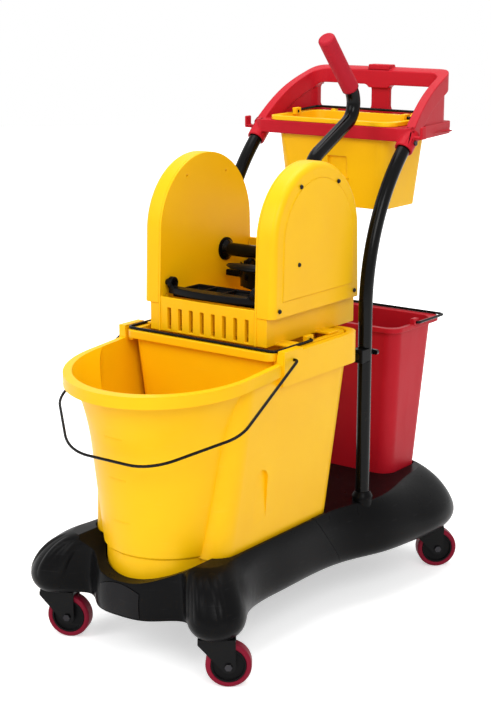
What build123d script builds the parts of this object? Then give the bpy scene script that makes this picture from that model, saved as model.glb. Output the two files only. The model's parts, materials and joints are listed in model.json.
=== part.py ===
"""Janitorial cart: a wheeled base with a wringer bucket in front and a push handle behind.

Millimetres, +Z up, floor at z = 0. The bucket's spout faces -Y and the push handle +Y.
The origin is on the floor, under the middle of the cart's overall box.
"""

import os
from math import acos, atan2, cos, degrees, hypot, pi, radians, sin, tan

from build123d import *

# General walls and clearances
base_wall = 4.0
bucket_wall = 4.0
pail_wall = 3.0
wringer_wall = 4.0
seat_gap = 0.3
well_clearance = 3.0
running_clearance = 0.05
wire_hole_clearance = 0.3

# Casters
wheel_diameter = 76.0
wheel_width = 26.0
hub_diameter = 58.0
axle_diameter = 8.0
caster_trail = 22.0
caster_track = 347.0
caster_wheelbase = 668.0
caster_middle_y = -11.0
fork_leg_thickness = 3.0
fork_side_gap = 1.5
fork_crown_thickness = 6.0
fork_crown_gap = 2.0
fork_leg_reach = 12.0
fork_nose = 28.0
stem_diameter = 11.0
stem_length = 44.0
race_diameter = 46.0
kingpin_diameter = 8.0
kingpin_head = 14.0
caster_turn = {
    "front_right": 35.7,
    "front_left": 23.0,
    "rear_right": 43.0,
    "rear_left": 30.0,
}

# Base
base_underside = 88.0
skirt_height = 115.0
base_top = 192.0
dome_power = 1.6
foot_radius = 46.0
rear_foot_radius = 56.0
nose_radius = 144.0
nose_lead = 40.0
nose_top = 149.0
nose_scoop_radius = 211.0
nose_scoop_reach = 110.0
waist_width = 334.0
base_rear_y = 400.0
deck_setback = 21.0
foot_tuck = 14.0
nose_tuck = 2.0
seam_low_y = 33.0
seam_high_y = -33.0
nose_panel_width = 84.0
nose_panel_height = 54.0
nose_panel_bottom = 92.0
nose_panel_thickness = 3.0
nose_panel_proud = 1.0
seam_block_size = 24.0
seam_block_length = 80.0
seam_block_x = 90.0
seam_bolt_diameter = 6.0
seam_bolt_head = 11.0
seam_bolt_head_height = 4.0

# Posts
post_diameter = 25.0
post_wall = 1.75
post_spread = 328.0
post_y = 107.0
post_foot_z = 150.0
post_socket_wall = 5.5
post_socket_top = 198.0
post_joint_z = 497.0
post_spigot_length = 40.0
post_bend_z = 545.0
post_bend_radius = 380.0
post_socket_depth = 34.0
post_lean = 46.0
post_clamp_z = 466.0
clamp_bolt_diameter = 6.0
catch_width = 22.0
catch_height = 24.0
catch_gap = 1.0
wing_span = 30.0

# Mop bucket
well_floor = 108.0
bucket_foot_half = 138.0
bucket_top_half = 168.0
bucket_foot_rear = 27.0
bucket_top_rear = 67.0
bucket_foot_front = -301.0
bucket_top_front = -255.0
bucket_draft_top = 500.0
bucket_corner = 34.0
bucket_step_z = 185.0
bucket_step = 5.0
bucket_floor_thickness = 5.0
drum_y = -247.0
drum_foot_radius = 112.0
drum_waist_z = 360.0
drum_waist_radius = 130.0
rim_radius = 175.0
rim_band = 20.0
rim_front_z = 480.0
rim_slope = 0.08
collar_front = -164.0
collar_rear = 78.0
collar_half = 178.0
collar_top = 517.0
collar_bottom = 463.0
side_recess_y = -190.0
side_recess_width = 36.0
side_recess_top = 322.0
side_recess_depth = 7.0
boss_length = 52.0
boss_top = 522.0
boss_bottom = 472.0
boss_proud = 2.0
boss_thickness = 14.0
bail_wire = 5.0
bucket_bail_y = -137.0
bucket_bail_z = 505.0
bucket_bail_hang = 28.0
bucket_bail_reach = 300.0
bucket_bail_half = 188.0
bucket_bail_swell = 9.0
bucket_bail_shoulder = 190.0

# Pan hanging in the bucket
pan_floor = 335.0
pan_foot_half = 136.0
pan_top_half = 152.0
pan_foot_front = -146.0
pan_top_front = -160.0
pan_foot_rear = 34.0
pan_top_rear = 50.0
pan_corner = 18.0
pan_flange_half = 160.0
pan_flange_front = -172.0
pan_flange_rear = 58.0
pan_ledge_z = 503.0
pan_ledge_half = 154.0
pan_ledge_length = 200.0
pan_ledge_thickness = 7.0
pan_ledge_sink = 2.0
pan_bail_y = -51.0
pan_bail_reach = 112.0
pan_bail_half = 159.5
pan_ear_inner = 145.0
pan_ear_outer = 154.0

# Wringer
cheek_inner = 102.0
cheek_outer = 140.0
cheek_middle_y = -8.0
cheek_radius = 130.0
cheek_spring_z = 688.0
cheek_foot_half = 136.0
cheek_skirt_z = 566.0
frame_half = 126.0
frame_front = -140.0
frame_rear = 127.0
apron_top = 578.0
apron_thickness = 8.0
apron_lip_thickness = 5.0
apron_slot_count = 8
apron_slot_pitch = 24.0
apron_slot_width = 8.0
apron_slot_bottom = 521.0
apron_slot_top = 560.0
back_wall_top = 648.0
back_wall_thickness = 7.0
basket_depth = 62.0
basket_front = -108.0
basket_rear = 36.0
basket_slot_width = 7.0
basket_slot_pitch = 22.0
basket_slot_count = 8
panel_inset = 27.0
panel_emboss = 1.5
cheek_screw_diameter = 4.0
cheek_screw_head = 7.5
cheek_screw_length = 12.0
cheek_screw_spots = ((-63.0, 781.0), (49.0, 779.0), (-124.0, 579.0), (104.0, 579.0), (-68.0, 650.0))
cheek_round = 12.0
wringer_feet = (-100.0, 20.0)
wringer_foot_half = 155.0
wringer_foot_length = 30.0

# Wringer drive
shaft_y = 46.0
shaft_z = 637.0
shaft_diameter = 24.0
shaft_flange_diameter = 42.0
shaft_cone = 8.0
bush_wall = 3.0
lever_x = 84.0
lever_diameter = 25.0
lever_wall = 2.0
lever_hub_diameter = 40.0
lever_hub_width = 26.0
lever_hub_wall = 2.2
lever_socket_height = 40.0
lever_throw = 70.0
lever_knee_z = 809.0
lever_elbow = (204.0, 889.0)
lever_tip = (93.0, 1014.0)
lever_knee_radius = 45.0
lever_elbow_radius = 38.0
grip_diameter = 31.0
grip_length = 116.0
grip_end_cap = 5.0
lever_pin_diameter = 6.0
jaw_front_y = -122.0
jaw_z = 601.0
jaw_pin_diameter = 10.0
jaw_boss_diameter = 22.0
jaw_half = 95.0
jaw_boss_width = 10.0
drive_teeth = 40
jaw_teeth = 80
gear_width = 5.0
gear_backlash = 0.5
gear_rim = 12.0
gear_layer_gap = 2.0
front_jaw_reach = 68.0
front_jaw_bar = 12.0
front_jaw_bow = 14.0
front_jaw_rail = 7.0
front_jaw_rib = 5.0
front_jaw_rib_count = 5
rear_jaw_half = 64.0
rear_jaw_near = 67.0
rear_jaw_far = 98.0
rear_jaw_top = 618.0
rear_jaw_bottom = 575.0
rear_jaw_plate = 8.0
rear_jaw_arm = 7.0

# Handle tray
tray_underside = 832.0
tray_top = 856.0
tray_front = 222.0
tray_rear = 412.0
tray_front_half = 178.0
tray_rear_half = 152.0
tray_corner = 28.0
tray_opening_half = 131.0
tray_opening_front = 229.0
tray_opening_rear = 382.0
tray_skin = 5.0
tray_socket_wall = 4.5
fin_thickness = 9.0
fin_bead = 14.0
fin_bead_proud = 3.0
fin_crest = ((236.0, 850.0), (273.0, 883.0), (313.0, 910.0), (362.0, 932.0), (399.0, 945.0))
hoop_corner = 42.0
bar_top = 950.0
bar_height = 30.0
bar_rear = 423.0
bar_depth = 27.0
back_panel_thickness = 9.0
window_bottom = 866.0
window_top = 917.0
window_half = 137.0
strut_width = 41.0
window_corner = 12.0
clip_width = 48.0
clip_height = 5.0
ledge_reach = 12.0
ledge_thickness = 3.0
ledge_front = 262.0
hook_y = 240.0
hook_reach = 24.0
hook_width = 16.0
hook_height = 22.0
hook_thickness = 5.0
tray_screw_diameter = 5.0
tray_screw_head = 9.0
tray_screw_length = 10.0

# Caddy in the tray
caddy_floor = 702.0
caddy_foot_half = 112.0
caddy_top_half = 128.0
caddy_foot_front = 244.0
caddy_top_front = 232.0
caddy_foot_rear = 366.0
caddy_top_rear = 379.0
caddy_corner = 24.0
caddy_rim_half = 138.0
caddy_rim_front = 223.0
caddy_rim_rear = 388.0
caddy_rim_height = 8.0
caddy_recess_x = 13.0
caddy_recess_z = 777.0
caddy_recess_width = 42.0
caddy_recess_height = 38.0
caddy_recess_depth = 4.0
caddy_bail_y = 299.0
caddy_bail_reach = 84.0
caddy_bail_half = 130.0
caddy_bail_tilt = 2.5
caddy_lug_inner = 117.0
caddy_lug_outer = 126.0
caddy_rest_x = 90.0

# Rear pail
pail_floor = 140.0
pail_foot_half = 120.0
pail_top_half = 142.0
pail_foot_front = 262.0
pail_top_front = 246.0
pail_foot_rear = 368.0
pail_top_rear = 392.0
pail_top = 482.0
pail_corner = 26.0
pail_rim_half = 149.0
pail_rim_front = 238.0
pail_rim_rear = 411.0
pail_rim_height = 9.0
pail_bail_y = 311.0
pail_bail_reach = 95.0
pail_bail_half = 154.5
pail_lug_inner = 140.0
pail_lug_outer = 150.0

# Worked out from the values above
wheel_radius = wheel_diameter / 2
wheel_half = wheel_width / 2
axle_radius = axle_diameter / 2
fork_inner = wheel_half + fork_side_gap
fork_outer = fork_inner + fork_leg_thickness
crown_bottom = wheel_diameter + fork_crown_gap
crown_top = crown_bottom + fork_crown_thickness
race_bottom = crown_top + seat_gap
kingpin_foot = crown_bottom - 3.0
front_pivot_y = caster_middle_y - caster_wheelbase / 2
rear_pivot_y = caster_middle_y + caster_wheelbase / 2
pivot_x = caster_track / 2
post_x = post_spread / 2
post_radius = post_diameter / 2
post_bore = post_radius - post_wall
waist_half = waist_width / 2
wire_radius = bail_wire / 2
wire_hole = wire_radius + wire_hole_clearance
shaft_radius = shaft_diameter / 2
lever_radius = lever_diameter / 2
bucket_floor = well_floor + seat_gap
pan_flange_bottom = pan_ledge_z + seat_gap
pan_flange_top = collar_top
wringer_bottom = pan_flange_top + seat_gap
cheek_wall_outer = cheek_inner + wringer_wall
cheek_top = cheek_spring_z + cheek_radius
shaft_to_jaw = hypot(shaft_y - jaw_front_y, shaft_z - jaw_z)
gear_module = 2 * shaft_to_jaw / (drive_teeth + jaw_teeth)
jaw_radius = gear_module * jaw_teeth / 2
jaw_rear_y = jaw_front_y + 2 * jaw_radius
mesh_angle = degrees(atan2(shaft_z - jaw_z, shaft_y - jaw_front_y))
gear_near_x = cheek_wall_outer + gear_layer_gap
gear_far_x = gear_near_x + gear_width + gear_layer_gap
caddy_rim_bottom = tray_top + seat_gap
caddy_rim_top = caddy_rim_bottom + caddy_rim_height
bail_rest = wire_radius + seat_gap

standing = (Align.CENTER, Align.CENTER, Align.MIN)
hanging = (Align.CENTER, Align.CENTER, Align.MAX)
on_front = (Align.CENTER, Align.MIN, Align.MIN)

os.makedirs("parts", exist_ok=True)


def keep(part, name):
    """Label a finished piece and write its STEP file."""
    part.label = name
    export_step(part, f"parts/{name}.step")


def side_name(side):
    return "right" if side > 0 else "left"


def upright_plane(x):
    """Plane across X at x: local x runs along +Y and local y along +Z."""
    return Plane(origin=(x, 0, 0), x_dir=(0, 1, 0), z_dir=(1, 0, 0))


def rounded_loft(low_z, high_z, low_box, high_box, corner, grow=0.0):
    """Drafted block between two rounded rectangles, each (half width, front y, rear y)."""
    with BuildPart() as block:
        for z, (half, front, rear) in ((low_z, low_box), (high_z, high_box)):
            with BuildSketch(Plane.XY.offset(z)):
                with Locations((0, (front + rear) / 2)):
                    RectangleRounded(2 * (half + grow), rear - front + 2 * grow, corner + grow)
        loft()
    return block.part


def between(low, high, share):
    """Point at a share of the way from one value, or tuple of values, to another."""
    if isinstance(low, tuple):
        return tuple(a + (b - a) * share for a, b in zip(low, high))
    return low + (high - low) * share


def wire_loop(points, radii):
    """Round wire bent along a path of straight runs and tangent arcs."""
    with BuildPart() as wire:
        with BuildLine() as path:
            FilletPolyline(*points, radius=radii)
        with BuildSketch(path.line ^ 0):
            Circle(wire_radius)
        sweep(path=path.line)
    return wire.part


def tube(path_points, radii, outer, inner):
    """Tube bent along straight runs and tangent arcs."""
    with BuildPart() as bent:
        with BuildLine() as path:
            if radii:
                FilletPolyline(*path_points, radius=radii)
            else:
                Polyline(*path_points)
        with BuildSketch(path.line ^ 0):
            Circle(outer)
            Circle(inner, mode=Mode.SUBTRACT)
        sweep(path=path.line)
    return bent.part


# Mop bucket form, shared by the bucket's skin, its hollow and the well that it stands in
def bucket_box(z):
    share = (z - bucket_floor) / (bucket_draft_top - bucket_floor)
    low = (bucket_foot_half, bucket_foot_front, bucket_foot_rear)
    high = (bucket_top_half, bucket_top_front, bucket_top_rear)
    return between(low, high, share)


def bucket_form(grow, floor, top):
    """Flared drum in front of a drafted box, grown by an even allowance, from floor to top."""
    flare_top = rim_front_z + rim_slope * (collar_front - drum_y + rim_radius)
    drum = [
        (drum_foot_radius - bucket_step + grow, floor),
        (drum_foot_radius - bucket_step + grow, bucket_step_z),
        (drum_foot_radius + grow, bucket_step_z + bucket_step),
        (drum_waist_radius + grow, drum_waist_z),
    ]
    flare_end = (rim_radius - bucket_wall + grow, flare_top)
    step_box = bucket_box(bucket_step_z)
    foot_half, foot_front, foot_rear = bucket_box(floor)
    with BuildPart() as form:
        add(rounded_loft(floor, bucket_step_z, (foot_half, step_box[1], foot_rear), step_box,
                         bucket_corner - bucket_step, grow - bucket_step))
        add(rounded_loft(bucket_step_z, top, bucket_box(bucket_step_z), bucket_box(top),
                         bucket_corner, grow))
        with BuildSketch(Plane(origin=(0, drum_y, 0), x_dir=(1, 0, 0), z_dir=(0, -1, 0))):
            with BuildLine():
                wall_line = Polyline((0, floor), *drum)
                flare = TangentArc(wall_line @ 1, flare_end, tangent=wall_line % 1)
                Polyline(flare @ 1, (flare_end[0], top), (0, top), (0, floor))
            make_face()
        revolve(axis=Axis((0, drum_y, 0), (0, 0, 1)))
    return form.part


def side_recess(grow):
    """Upright recesses in both flanks, open at the bottom."""
    with BuildPart() as recess:
        for side in (-1, 1):
            half = bucket_box(side_recess_top)[0]
            with BuildSketch(upright_plane(side * (half - side_recess_depth - grow))):
                with BuildLine():
                    wide = side_recess_width / 2 + grow
                    crown = side_recess_top + grow
                    Polyline((side_recess_y - wide, crown - wide), (side_recess_y - wide, bucket_step_z),
                             (side_recess_y + wide, bucket_step_z), (side_recess_y + wide, crown - wide))
                    ThreePointArc((side_recess_y + wide, crown - wide), (side_recess_y, crown),
                                  (side_recess_y - wide, crown - wide))
                make_face()
            extrude(amount=side * 60)
    return recess.part


# Base form: sections of one rounded outline, lofted from the skirt's foot to the deck
def base_outline():
    """Half outline as (widest point, deck point, tuck at the foot), from the nose to the rear."""
    px, fy, ry = pivot_x, front_pivot_y, rear_pivot_y
    flank = bucket_box(base_top)[0] + well_clearance + base_wall
    nose_y = front_pivot_y - nose_lead
    deck_rear = base_rear_y - deck_setback

    def foot(angle, radius):
        return (px + radius * cos(radians(angle)), fy + radius * sin(radians(angle)))

    def heel(angle, radius):
        return (px + radius * cos(radians(angle)), ry + radius * sin(radians(angle)))

    def nose(angle):
        return (nose_radius * sin(radians(angle)), nose_y + nose_radius * (1 - cos(radians(angle))))

    return [
        ((0, nose_y), (0, nose_y + 22), nose_tuck),
        (nose(23.5), (52, nose_y + 30), nose_tuck),
        (nose(46), (92, nose_y + 48), nose_tuck),
        (foot(-137, foot_radius), (112, fy + 12), foot_tuck),
        (foot(-90, foot_radius), (126, fy + 12), foot_tuck),
        (foot(-35, foot_radius), (140, fy + 22), foot_tuck),
        (foot(10, foot_radius + 2), (flank - 2, fy + 38), foot_tuck),
        (foot(66, foot_radius + 15), (flank, fy + 68), foot_tuck),
        ((waist_half + 5, fy + 119), (flank, fy + 124), foot_tuck),
        ((waist_half, fy + 224), (flank, fy + 224), foot_tuck),
        ((waist_half + 1, post_y - 128), (flank, post_y - 128), foot_tuck),
        ((waist_half + 13, post_y - 53), (flank + 4, post_y - 58), foot_tuck),
        ((post_x + 43, post_y + 22), (post_x + 10, post_y + 7), foot_tuck),
        (heel(-64, 2 * rear_foot_radius), (post_x + 2, post_y + 102), foot_tuck),
        (heel(-23, rear_foot_radius + 4), (148, ry - 48), foot_tuck),
        (heel(43, rear_foot_radius), (138, ry + 14), foot_tuck),
        ((px - 20, base_rear_y - 9), (112, deck_rear - 12), foot_tuck),
        ((75, base_rear_y - 1), (56, deck_rear - 1), foot_tuck),
        ((0, base_rear_y), (0, deck_rear), foot_tuck),
    ]


def inset_points(half_points, depth):
    """Move each point of a closed, mirrored outline inwards along its local normal."""
    moved = []
    last = len(half_points) - 1
    for index, (x, y) in enumerate(half_points):
        first_x, first_y = half_points[1]
        last_x, last_y = half_points[last - 1]
        before = half_points[index - 1] if index > 0 else (-first_x, first_y)
        after = half_points[index + 1] if index < last else (-last_x, last_y)
        along = (after[0] - before[0], after[1] - before[1])
        size = hypot(*along)
        step = depth[index] if isinstance(depth, list) else depth
        moved.append((x - step * along[1] / size, y + step * along[0] / size))
    return moved


def base_form(inset):
    """Outside of the base, or its hollow when inset by a wall."""
    outline = base_outline()
    wide = [point for point, deck, tuck in outline]
    deck = [point for outer, point, tuck in outline]
    tucks = [tuck for outer, point, tuck in outline]
    levels = [(base_underside, wide, tucks), (base_underside + 12, wide, [tuck / 4 for tuck in tucks])]
    levels.append((skirt_height, wide, [0.0] * len(wide)))
    for share in (0.32, 0.58, 0.78, 0.92, 0.985):
        spread = (1 - share**dome_power) ** (1 / dome_power)
        ring = [between(inner, outer, spread) for inner, outer in zip(deck, wide)]
        levels.append((skirt_height + (base_top - inset - skirt_height) * share, ring, [0.0] * len(wide)))
    with BuildPart() as form:
        for height, ring, depth in levels:
            points = inset_points(ring, [step + inset for step in depth])
            with BuildSketch(Plane.XY.offset(height)):
                with BuildLine():
                    curve = Spline(*points, tangents=((1, 0), (-1, 0)))
                    Line(curve @ 1, curve @ 0)
                make_face()
        loft()
        mirror(about=Plane.YZ)
        scoop_z = nose_top + nose_scoop_radius
        nose_y = outline[0][0][1]
        with BuildSketch(Plane(origin=(0, nose_y - foot_radius, 0), x_dir=(1, 0, 0), z_dir=(0, -1, 0))):
            with Locations((0, scoop_z)):
                Circle(nose_scoop_radius + inset)
        extrude(amount=-(nose_scoop_reach + foot_radius), mode=Mode.SUBTRACT)
    return form.part


def pail_form(grow, floor, top):
    low = (pail_foot_half, pail_foot_front, pail_foot_rear)
    high = (pail_top_half, pail_top_front, pail_top_rear)
    height = pail_top - pail_floor
    low_box = between(low, high, (floor - pail_floor) / height)
    high_box = between(low, high, (top - pail_floor) / height)
    return rounded_loft(floor, top, low_box, high_box, pail_corner, grow)


# Base, made whole and then parted at the slanted seam
base_skin = base_form(0)
pail_seat = pail_floor - seat_gap
seam_bolt_z = (base_underside + well_floor - base_wall) / 2
seam_rise = base_top - base_underside
seam_run = seam_low_y - seam_high_y
seam_bolt_y = seam_low_y - (seam_bolt_z - base_underside) * seam_run / seam_rise
seam_plane = Plane(origin=(0, seam_low_y, base_underside), x_dir=(1, 0, 0), z_dir=(0, seam_rise, seam_run))
nose_front_y = base_outline()[0][0][1]

with BuildPart() as nose_panel:
    with BuildSketch(Plane(origin=(0, nose_front_y + foot_radius, 0), x_dir=(1, 0, 0), z_dir=(0, -1, 0))):
        with BuildLine():
            panel_half = nose_panel_width / 2
            panel_top = nose_panel_bottom + nose_panel_height
            side_top = panel_top - nose_panel_height / 5
            Polyline((-panel_half, side_top), (-panel_half, nose_panel_bottom),
                     (panel_half, nose_panel_bottom), (panel_half, side_top))
            ThreePointArc((panel_half, side_top), (0, panel_top), (-panel_half, side_top))
        make_face()
    extrude(amount=2 * foot_radius)
    add(base_form(-nose_panel_proud), mode=Mode.INTERSECT)
    add(base_form(nose_panel_thickness - nose_panel_proud), mode=Mode.SUBTRACT)

with BuildPart() as well_walls:
    add(bucket_form(well_clearance + base_wall, well_floor - base_wall, base_top + 20))
    add(pail_form(well_clearance + base_wall, pail_seat - base_wall, base_top + 20))
    for side in (-1, 1):
        for pivot_y in (front_pivot_y, rear_pivot_y):
            with Locations((side * pivot_x, pivot_y, base_underside)):
                Cylinder(stem_diameter, stem_length + base_wall, align=standing)
                Cylinder(foot_radius + foot_tuck, base_wall, align=standing)
        with Locations((side * post_x, post_y, post_foot_z - base_wall)):
            Cylinder(post_radius + post_socket_wall, base_top - post_foot_z, align=standing)
    add(base_skin, mode=Mode.INTERSECT)

with BuildPart() as base_whole:
    add(base_skin)
    add(base_form(base_wall), mode=Mode.SUBTRACT)
    add(well_walls.part)
    for side in (-1, 1):
        with Locations((side * post_x, post_y, post_socket_top)):
            Cylinder(post_radius + post_socket_wall, post_socket_top - post_foot_z, align=hanging)
        with Locations((side * seam_block_x, seam_bolt_y, well_floor - base_wall / 2)):
            Box(seam_block_size, seam_block_length, well_floor - base_wall / 2 - base_underside,
                align=hanging)
    add(bucket_form(well_clearance, well_floor, base_top + 40), mode=Mode.SUBTRACT)
    add(pail_form(well_clearance, pail_seat, base_top + 40), mode=Mode.SUBTRACT)
    add(nose_panel.part, mode=Mode.SUBTRACT)
    for side in (-1, 1):
        with Locations((side * post_x, post_y, post_socket_top)):
            Cylinder(post_radius + running_clearance, post_socket_top - post_foot_z, align=hanging,
                     mode=Mode.SUBTRACT)
        with Locations((side * seam_block_x, seam_bolt_y, seam_bolt_z)):
            Cylinder(seam_bolt_diameter / 2 + running_clearance, 2 * seam_block_length, rotation=(90, 0, 0),
                     mode=Mode.SUBTRACT)
        for pivot_y in (front_pivot_y, rear_pivot_y):
            with Locations((side * pivot_x, pivot_y, base_underside)):
                Cylinder(stem_diameter / 2 + running_clearance, stem_length, align=standing,
                         mode=Mode.SUBTRACT)

with BuildPart() as base_front:
    add(base_whole.part)
    split(bisect_by=seam_plane, keep=Keep.BOTTOM)

with BuildPart() as base_rear:
    add(base_whole.part)
    split(bisect_by=seam_plane, keep=Keep.TOP)

with BuildPart() as base_seam_bolts:
    for side in (-1, 1):
        with Locations((side * seam_block_x, seam_bolt_y, seam_bolt_z)):
            Cylinder(seam_bolt_diameter / 2, seam_block_length + seam_bolt_head_height, rotation=(90, 0, 0))
        for end in (-1, 1):
            head_y = seam_bolt_y + end * (seam_block_length + seam_bolt_head_height) / 2
            with Locations((side * seam_block_x, head_y, seam_bolt_z)):
                Cylinder(seam_bolt_head / 2, seam_bolt_head_height, rotation=(90, 0, 0))

keep(base_front.part, "base_front")
keep(base_rear.part, "base_rear")
keep(nose_panel.part, "nose_panel")
keep(base_seam_bolts.part, "base_seam_bolts")


# Casters: stem and race fixed to the base, fork swivelling below it, wheel on its axle
with BuildPart() as caster_stems:
    for side in (-1, 1):
        for pivot_y in (front_pivot_y, rear_pivot_y):
            with Locations((side * pivot_x, pivot_y, race_bottom)):
                Cylinder(race_diameter / 2, base_underside - race_bottom, align=standing)
                Cylinder(stem_diameter / 2, base_underside - race_bottom + stem_length, align=standing)
            with Locations((side * pivot_x, pivot_y, race_bottom)):
                Cylinder(kingpin_diameter / 2, race_bottom - kingpin_foot, align=hanging)
            with Locations((side * pivot_x, pivot_y, kingpin_foot)):
                Cylinder(kingpin_head / 2, crown_bottom - seat_gap - kingpin_foot, align=standing)
keep(caster_stems.part, "caster_stems")


def caster(name, x, y, turn):
    """One caster: its trail direction is turned from +X by the given angle."""
    along = (cos(radians(turn)), sin(radians(turn)), 0)
    across = (along[1], -along[0], 0)
    axle_at = (x + caster_trail * along[0], y + caster_trail * along[1], wheel_radius)
    axle_plane = Plane(origin=axle_at, x_dir=along, z_dir=across)
    crown_plane = Plane(origin=(x, y, crown_bottom), x_dir=along, z_dir=(0, 0, 1))
    crown_front = caster_trail + fork_leg_reach
    crown_length = crown_front + fork_nose

    with BuildPart() as fork:
        with BuildSketch(crown_plane):
            with Locations(((crown_front - fork_nose) / 2, 0)):
                RectangleRounded(crown_length, 2 * fork_outer, fork_leg_thickness)
        extrude(amount=fork_crown_thickness)
        for end in (-1, 1):
            inner_face = fork_inner if end > 0 else -fork_outer
            with BuildSketch(axle_plane.offset(inner_face)):
                Circle(fork_leg_reach)
                with Locations(((crown_front - fork_nose) / 2 - caster_trail, crown_bottom - wheel_radius)):
                    Rectangle(crown_length, fork_crown_thickness)
                make_hull()
            extrude(amount=fork_leg_thickness)
        with BuildSketch(axle_plane.offset(-fork_outer)):
            Circle(axle_radius + running_clearance)
        extrude(amount=2 * fork_outer, mode=Mode.SUBTRACT)
        with Locations((x, y, crown_bottom)):
            Cylinder(kingpin_diameter / 2 + running_clearance, 4 * fork_crown_thickness, mode=Mode.SUBTRACT)
    keep(fork.part, f"caster_fork_{name}")

    with BuildPart() as axle:
        with BuildSketch(axle_plane.offset(-fork_outer)):
            Circle(axle_radius)
        extrude(amount=2 * fork_outer)
        for start, reach in ((fork_outer, axle_radius), (-fork_outer, -axle_radius)):
            with BuildSketch(axle_plane.offset(start)):
                RegularPolygon(axle_diameter * 0.8, 6)
            extrude(amount=reach)
    keep(axle.part, f"wheel_axle_{name}")

    with BuildPart() as hub:
        with BuildSketch(axle_plane.offset(-wheel_half)):
            Circle(hub_diameter / 2)
        extrude(amount=wheel_width)
        for start, reach in ((wheel_half, -wheel_half / 3), (-wheel_half, wheel_half / 3)):
            with BuildSketch(axle_plane.offset(start)):
                Circle(hub_diameter / 2 - fork_leg_thickness)
                Circle(axle_diameter * 1.3, mode=Mode.SUBTRACT)
            extrude(amount=reach, mode=Mode.SUBTRACT)
        with BuildSketch(axle_plane.offset(-wheel_half)):
            Circle(axle_radius + running_clearance)
        extrude(amount=wheel_width, mode=Mode.SUBTRACT)
    keep(hub.part, f"wheel_hub_{name}")

    with BuildPart() as tyre:
        with BuildSketch(axle_plane.offset(-wheel_half)):
            Circle(wheel_radius)
        extrude(amount=wheel_width)
        fillet(tyre.edges(), (wheel_diameter - hub_diameter) / 4)
        with BuildSketch(axle_plane.offset(-wheel_half)):
            Circle(hub_diameter / 2)
        extrude(amount=wheel_width, mode=Mode.SUBTRACT)
    keep(tyre.part, f"wheel_tyre_{name}")


for name, turn in caster_turn.items():
    end, side = name.split("_")
    caster(name, pivot_x if side == "right" else -pivot_x,
           front_pivot_y if end == "front" else rear_pivot_y, turn)


# Posts: lower tubes in the base, upper tubes on their spigots, bent back to the tray
post_rise = post_bend_radius * tan(radians(post_lean / 2))
post_lead = (0, sin(radians(post_lean)), cos(radians(post_lean)))
post_corner_z = post_bend_z + post_rise
post_end = (post_y + (post_rise + post_socket_depth) * post_lead[1],
            post_corner_z + (post_rise + post_socket_depth) * post_lead[2])
post_socket_at = (post_y + post_rise * post_lead[1], post_corner_z + post_rise * post_lead[2])
catch_front = collar_rear + catch_gap


def screw_place(side):
    """Place on the outer side of a tray socket, facing outwards."""
    share = post_socket_depth / 2
    spot = (side * (post_x + post_radius + tray_socket_wall), post_socket_at[0] + share * post_lead[1],
            post_socket_at[1] + share * post_lead[2])
    return Plane(origin=spot, x_dir=(0, side, 0), z_dir=(side, 0, 0))


clamp_radius = clamp_bolt_diameter / 2
for side in (-1, 1):
    x = side * post_x
    with BuildPart() as lower_post:
        with Locations((x, post_y, post_foot_z)):
            Cylinder(post_radius, post_joint_z - post_foot_z, align=standing)
            Cylinder(post_bore - running_clearance, post_joint_z - post_foot_z + post_spigot_length,
                     align=standing)
            Cylinder(post_bore - running_clearance - post_wall, post_joint_z, align=standing,
                     mode=Mode.SUBTRACT)
            Cylinder(post_bore, post_joint_z - post_foot_z - post_spigot_length, align=standing,
                     mode=Mode.SUBTRACT)
        with Locations((x, post_y, post_clamp_z)):
            Cylinder(clamp_radius + running_clearance, 2 * post_diameter, rotation=(90, 0, 0),
                     mode=Mode.SUBTRACT)
    keep(lower_post.part, f"lower_post_{side_name(side)}")

    upper_post = tube([(x, post_y, post_joint_z), (x, post_y, post_corner_z), (x, *post_end)],
                      post_bend_radius, post_radius, post_bore)
    with BuildPart() as upper_tube:
        add(upper_post)
        with Locations(screw_place(side)):
            Cylinder(tray_screw_diameter / 2, 2 * post_radius, mode=Mode.SUBTRACT)
    keep(upper_tube.part, f"upper_post_{side_name(side)}")

    with BuildPart() as bucket_catch:
        with Locations((x - side * (catch_width - post_diameter) / 2, catch_front, post_clamp_z)):
            Box(catch_width, post_y - catch_front, catch_height,
                align=(Align.CENTER, Align.MIN, Align.CENTER))
        with Locations((x, post_y, post_clamp_z)):
            Cylinder(post_radius + running_clearance, 2 * catch_height, mode=Mode.SUBTRACT)
        with Locations((x, catch_front, post_clamp_z)):
            Cylinder(clamp_radius + running_clearance, 2 * post_y, rotation=(90, 0, 0), mode=Mode.SUBTRACT)
            Cylinder(clamp_bolt_diameter, clamp_bolt_diameter, rotation=(90, 0, 0), mode=Mode.SUBTRACT)
    keep(bucket_catch.part, f"bucket_catch_{side_name(side)}")

post_back = post_y + post_radius
with BuildPart() as post_clamp_bolts:
    for side in (-1, 1):
        with Locations((side * post_x, catch_front, post_clamp_z)):
            Cylinder(clamp_bolt_diameter, clamp_radius, rotation=(-90, 0, 0), align=standing)
            Cylinder(clamp_radius, post_back + 3 * clamp_bolt_diameter - catch_front, rotation=(-90, 0, 0),
                     align=standing)
keep(post_clamp_bolts.part, "post_clamp_bolts")

with BuildPart() as wing_nuts:
    for side in (-1, 1):
        nut_plane = Plane(origin=(side * post_x, post_back, post_clamp_z), x_dir=(1, 0, 0), z_dir=(0, 1, 0))
        with BuildSketch(nut_plane):
            Circle(clamp_bolt_diameter)
        extrude(amount=1.5 * clamp_bolt_diameter)
        with BuildSketch(nut_plane.offset(clamp_bolt_diameter)):
            SlotOverall(wing_span, 1.5 * clamp_bolt_diameter)
        extrude(amount=clamp_bolt_diameter)
        with BuildSketch(nut_plane):
            Circle(clamp_radius)
        extrude(amount=3 * clamp_bolt_diameter, mode=Mode.SUBTRACT)
keep(wing_nuts.part, "wing_nuts")


# Mop bucket
rim_front_y = drum_y - rim_radius


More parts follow.
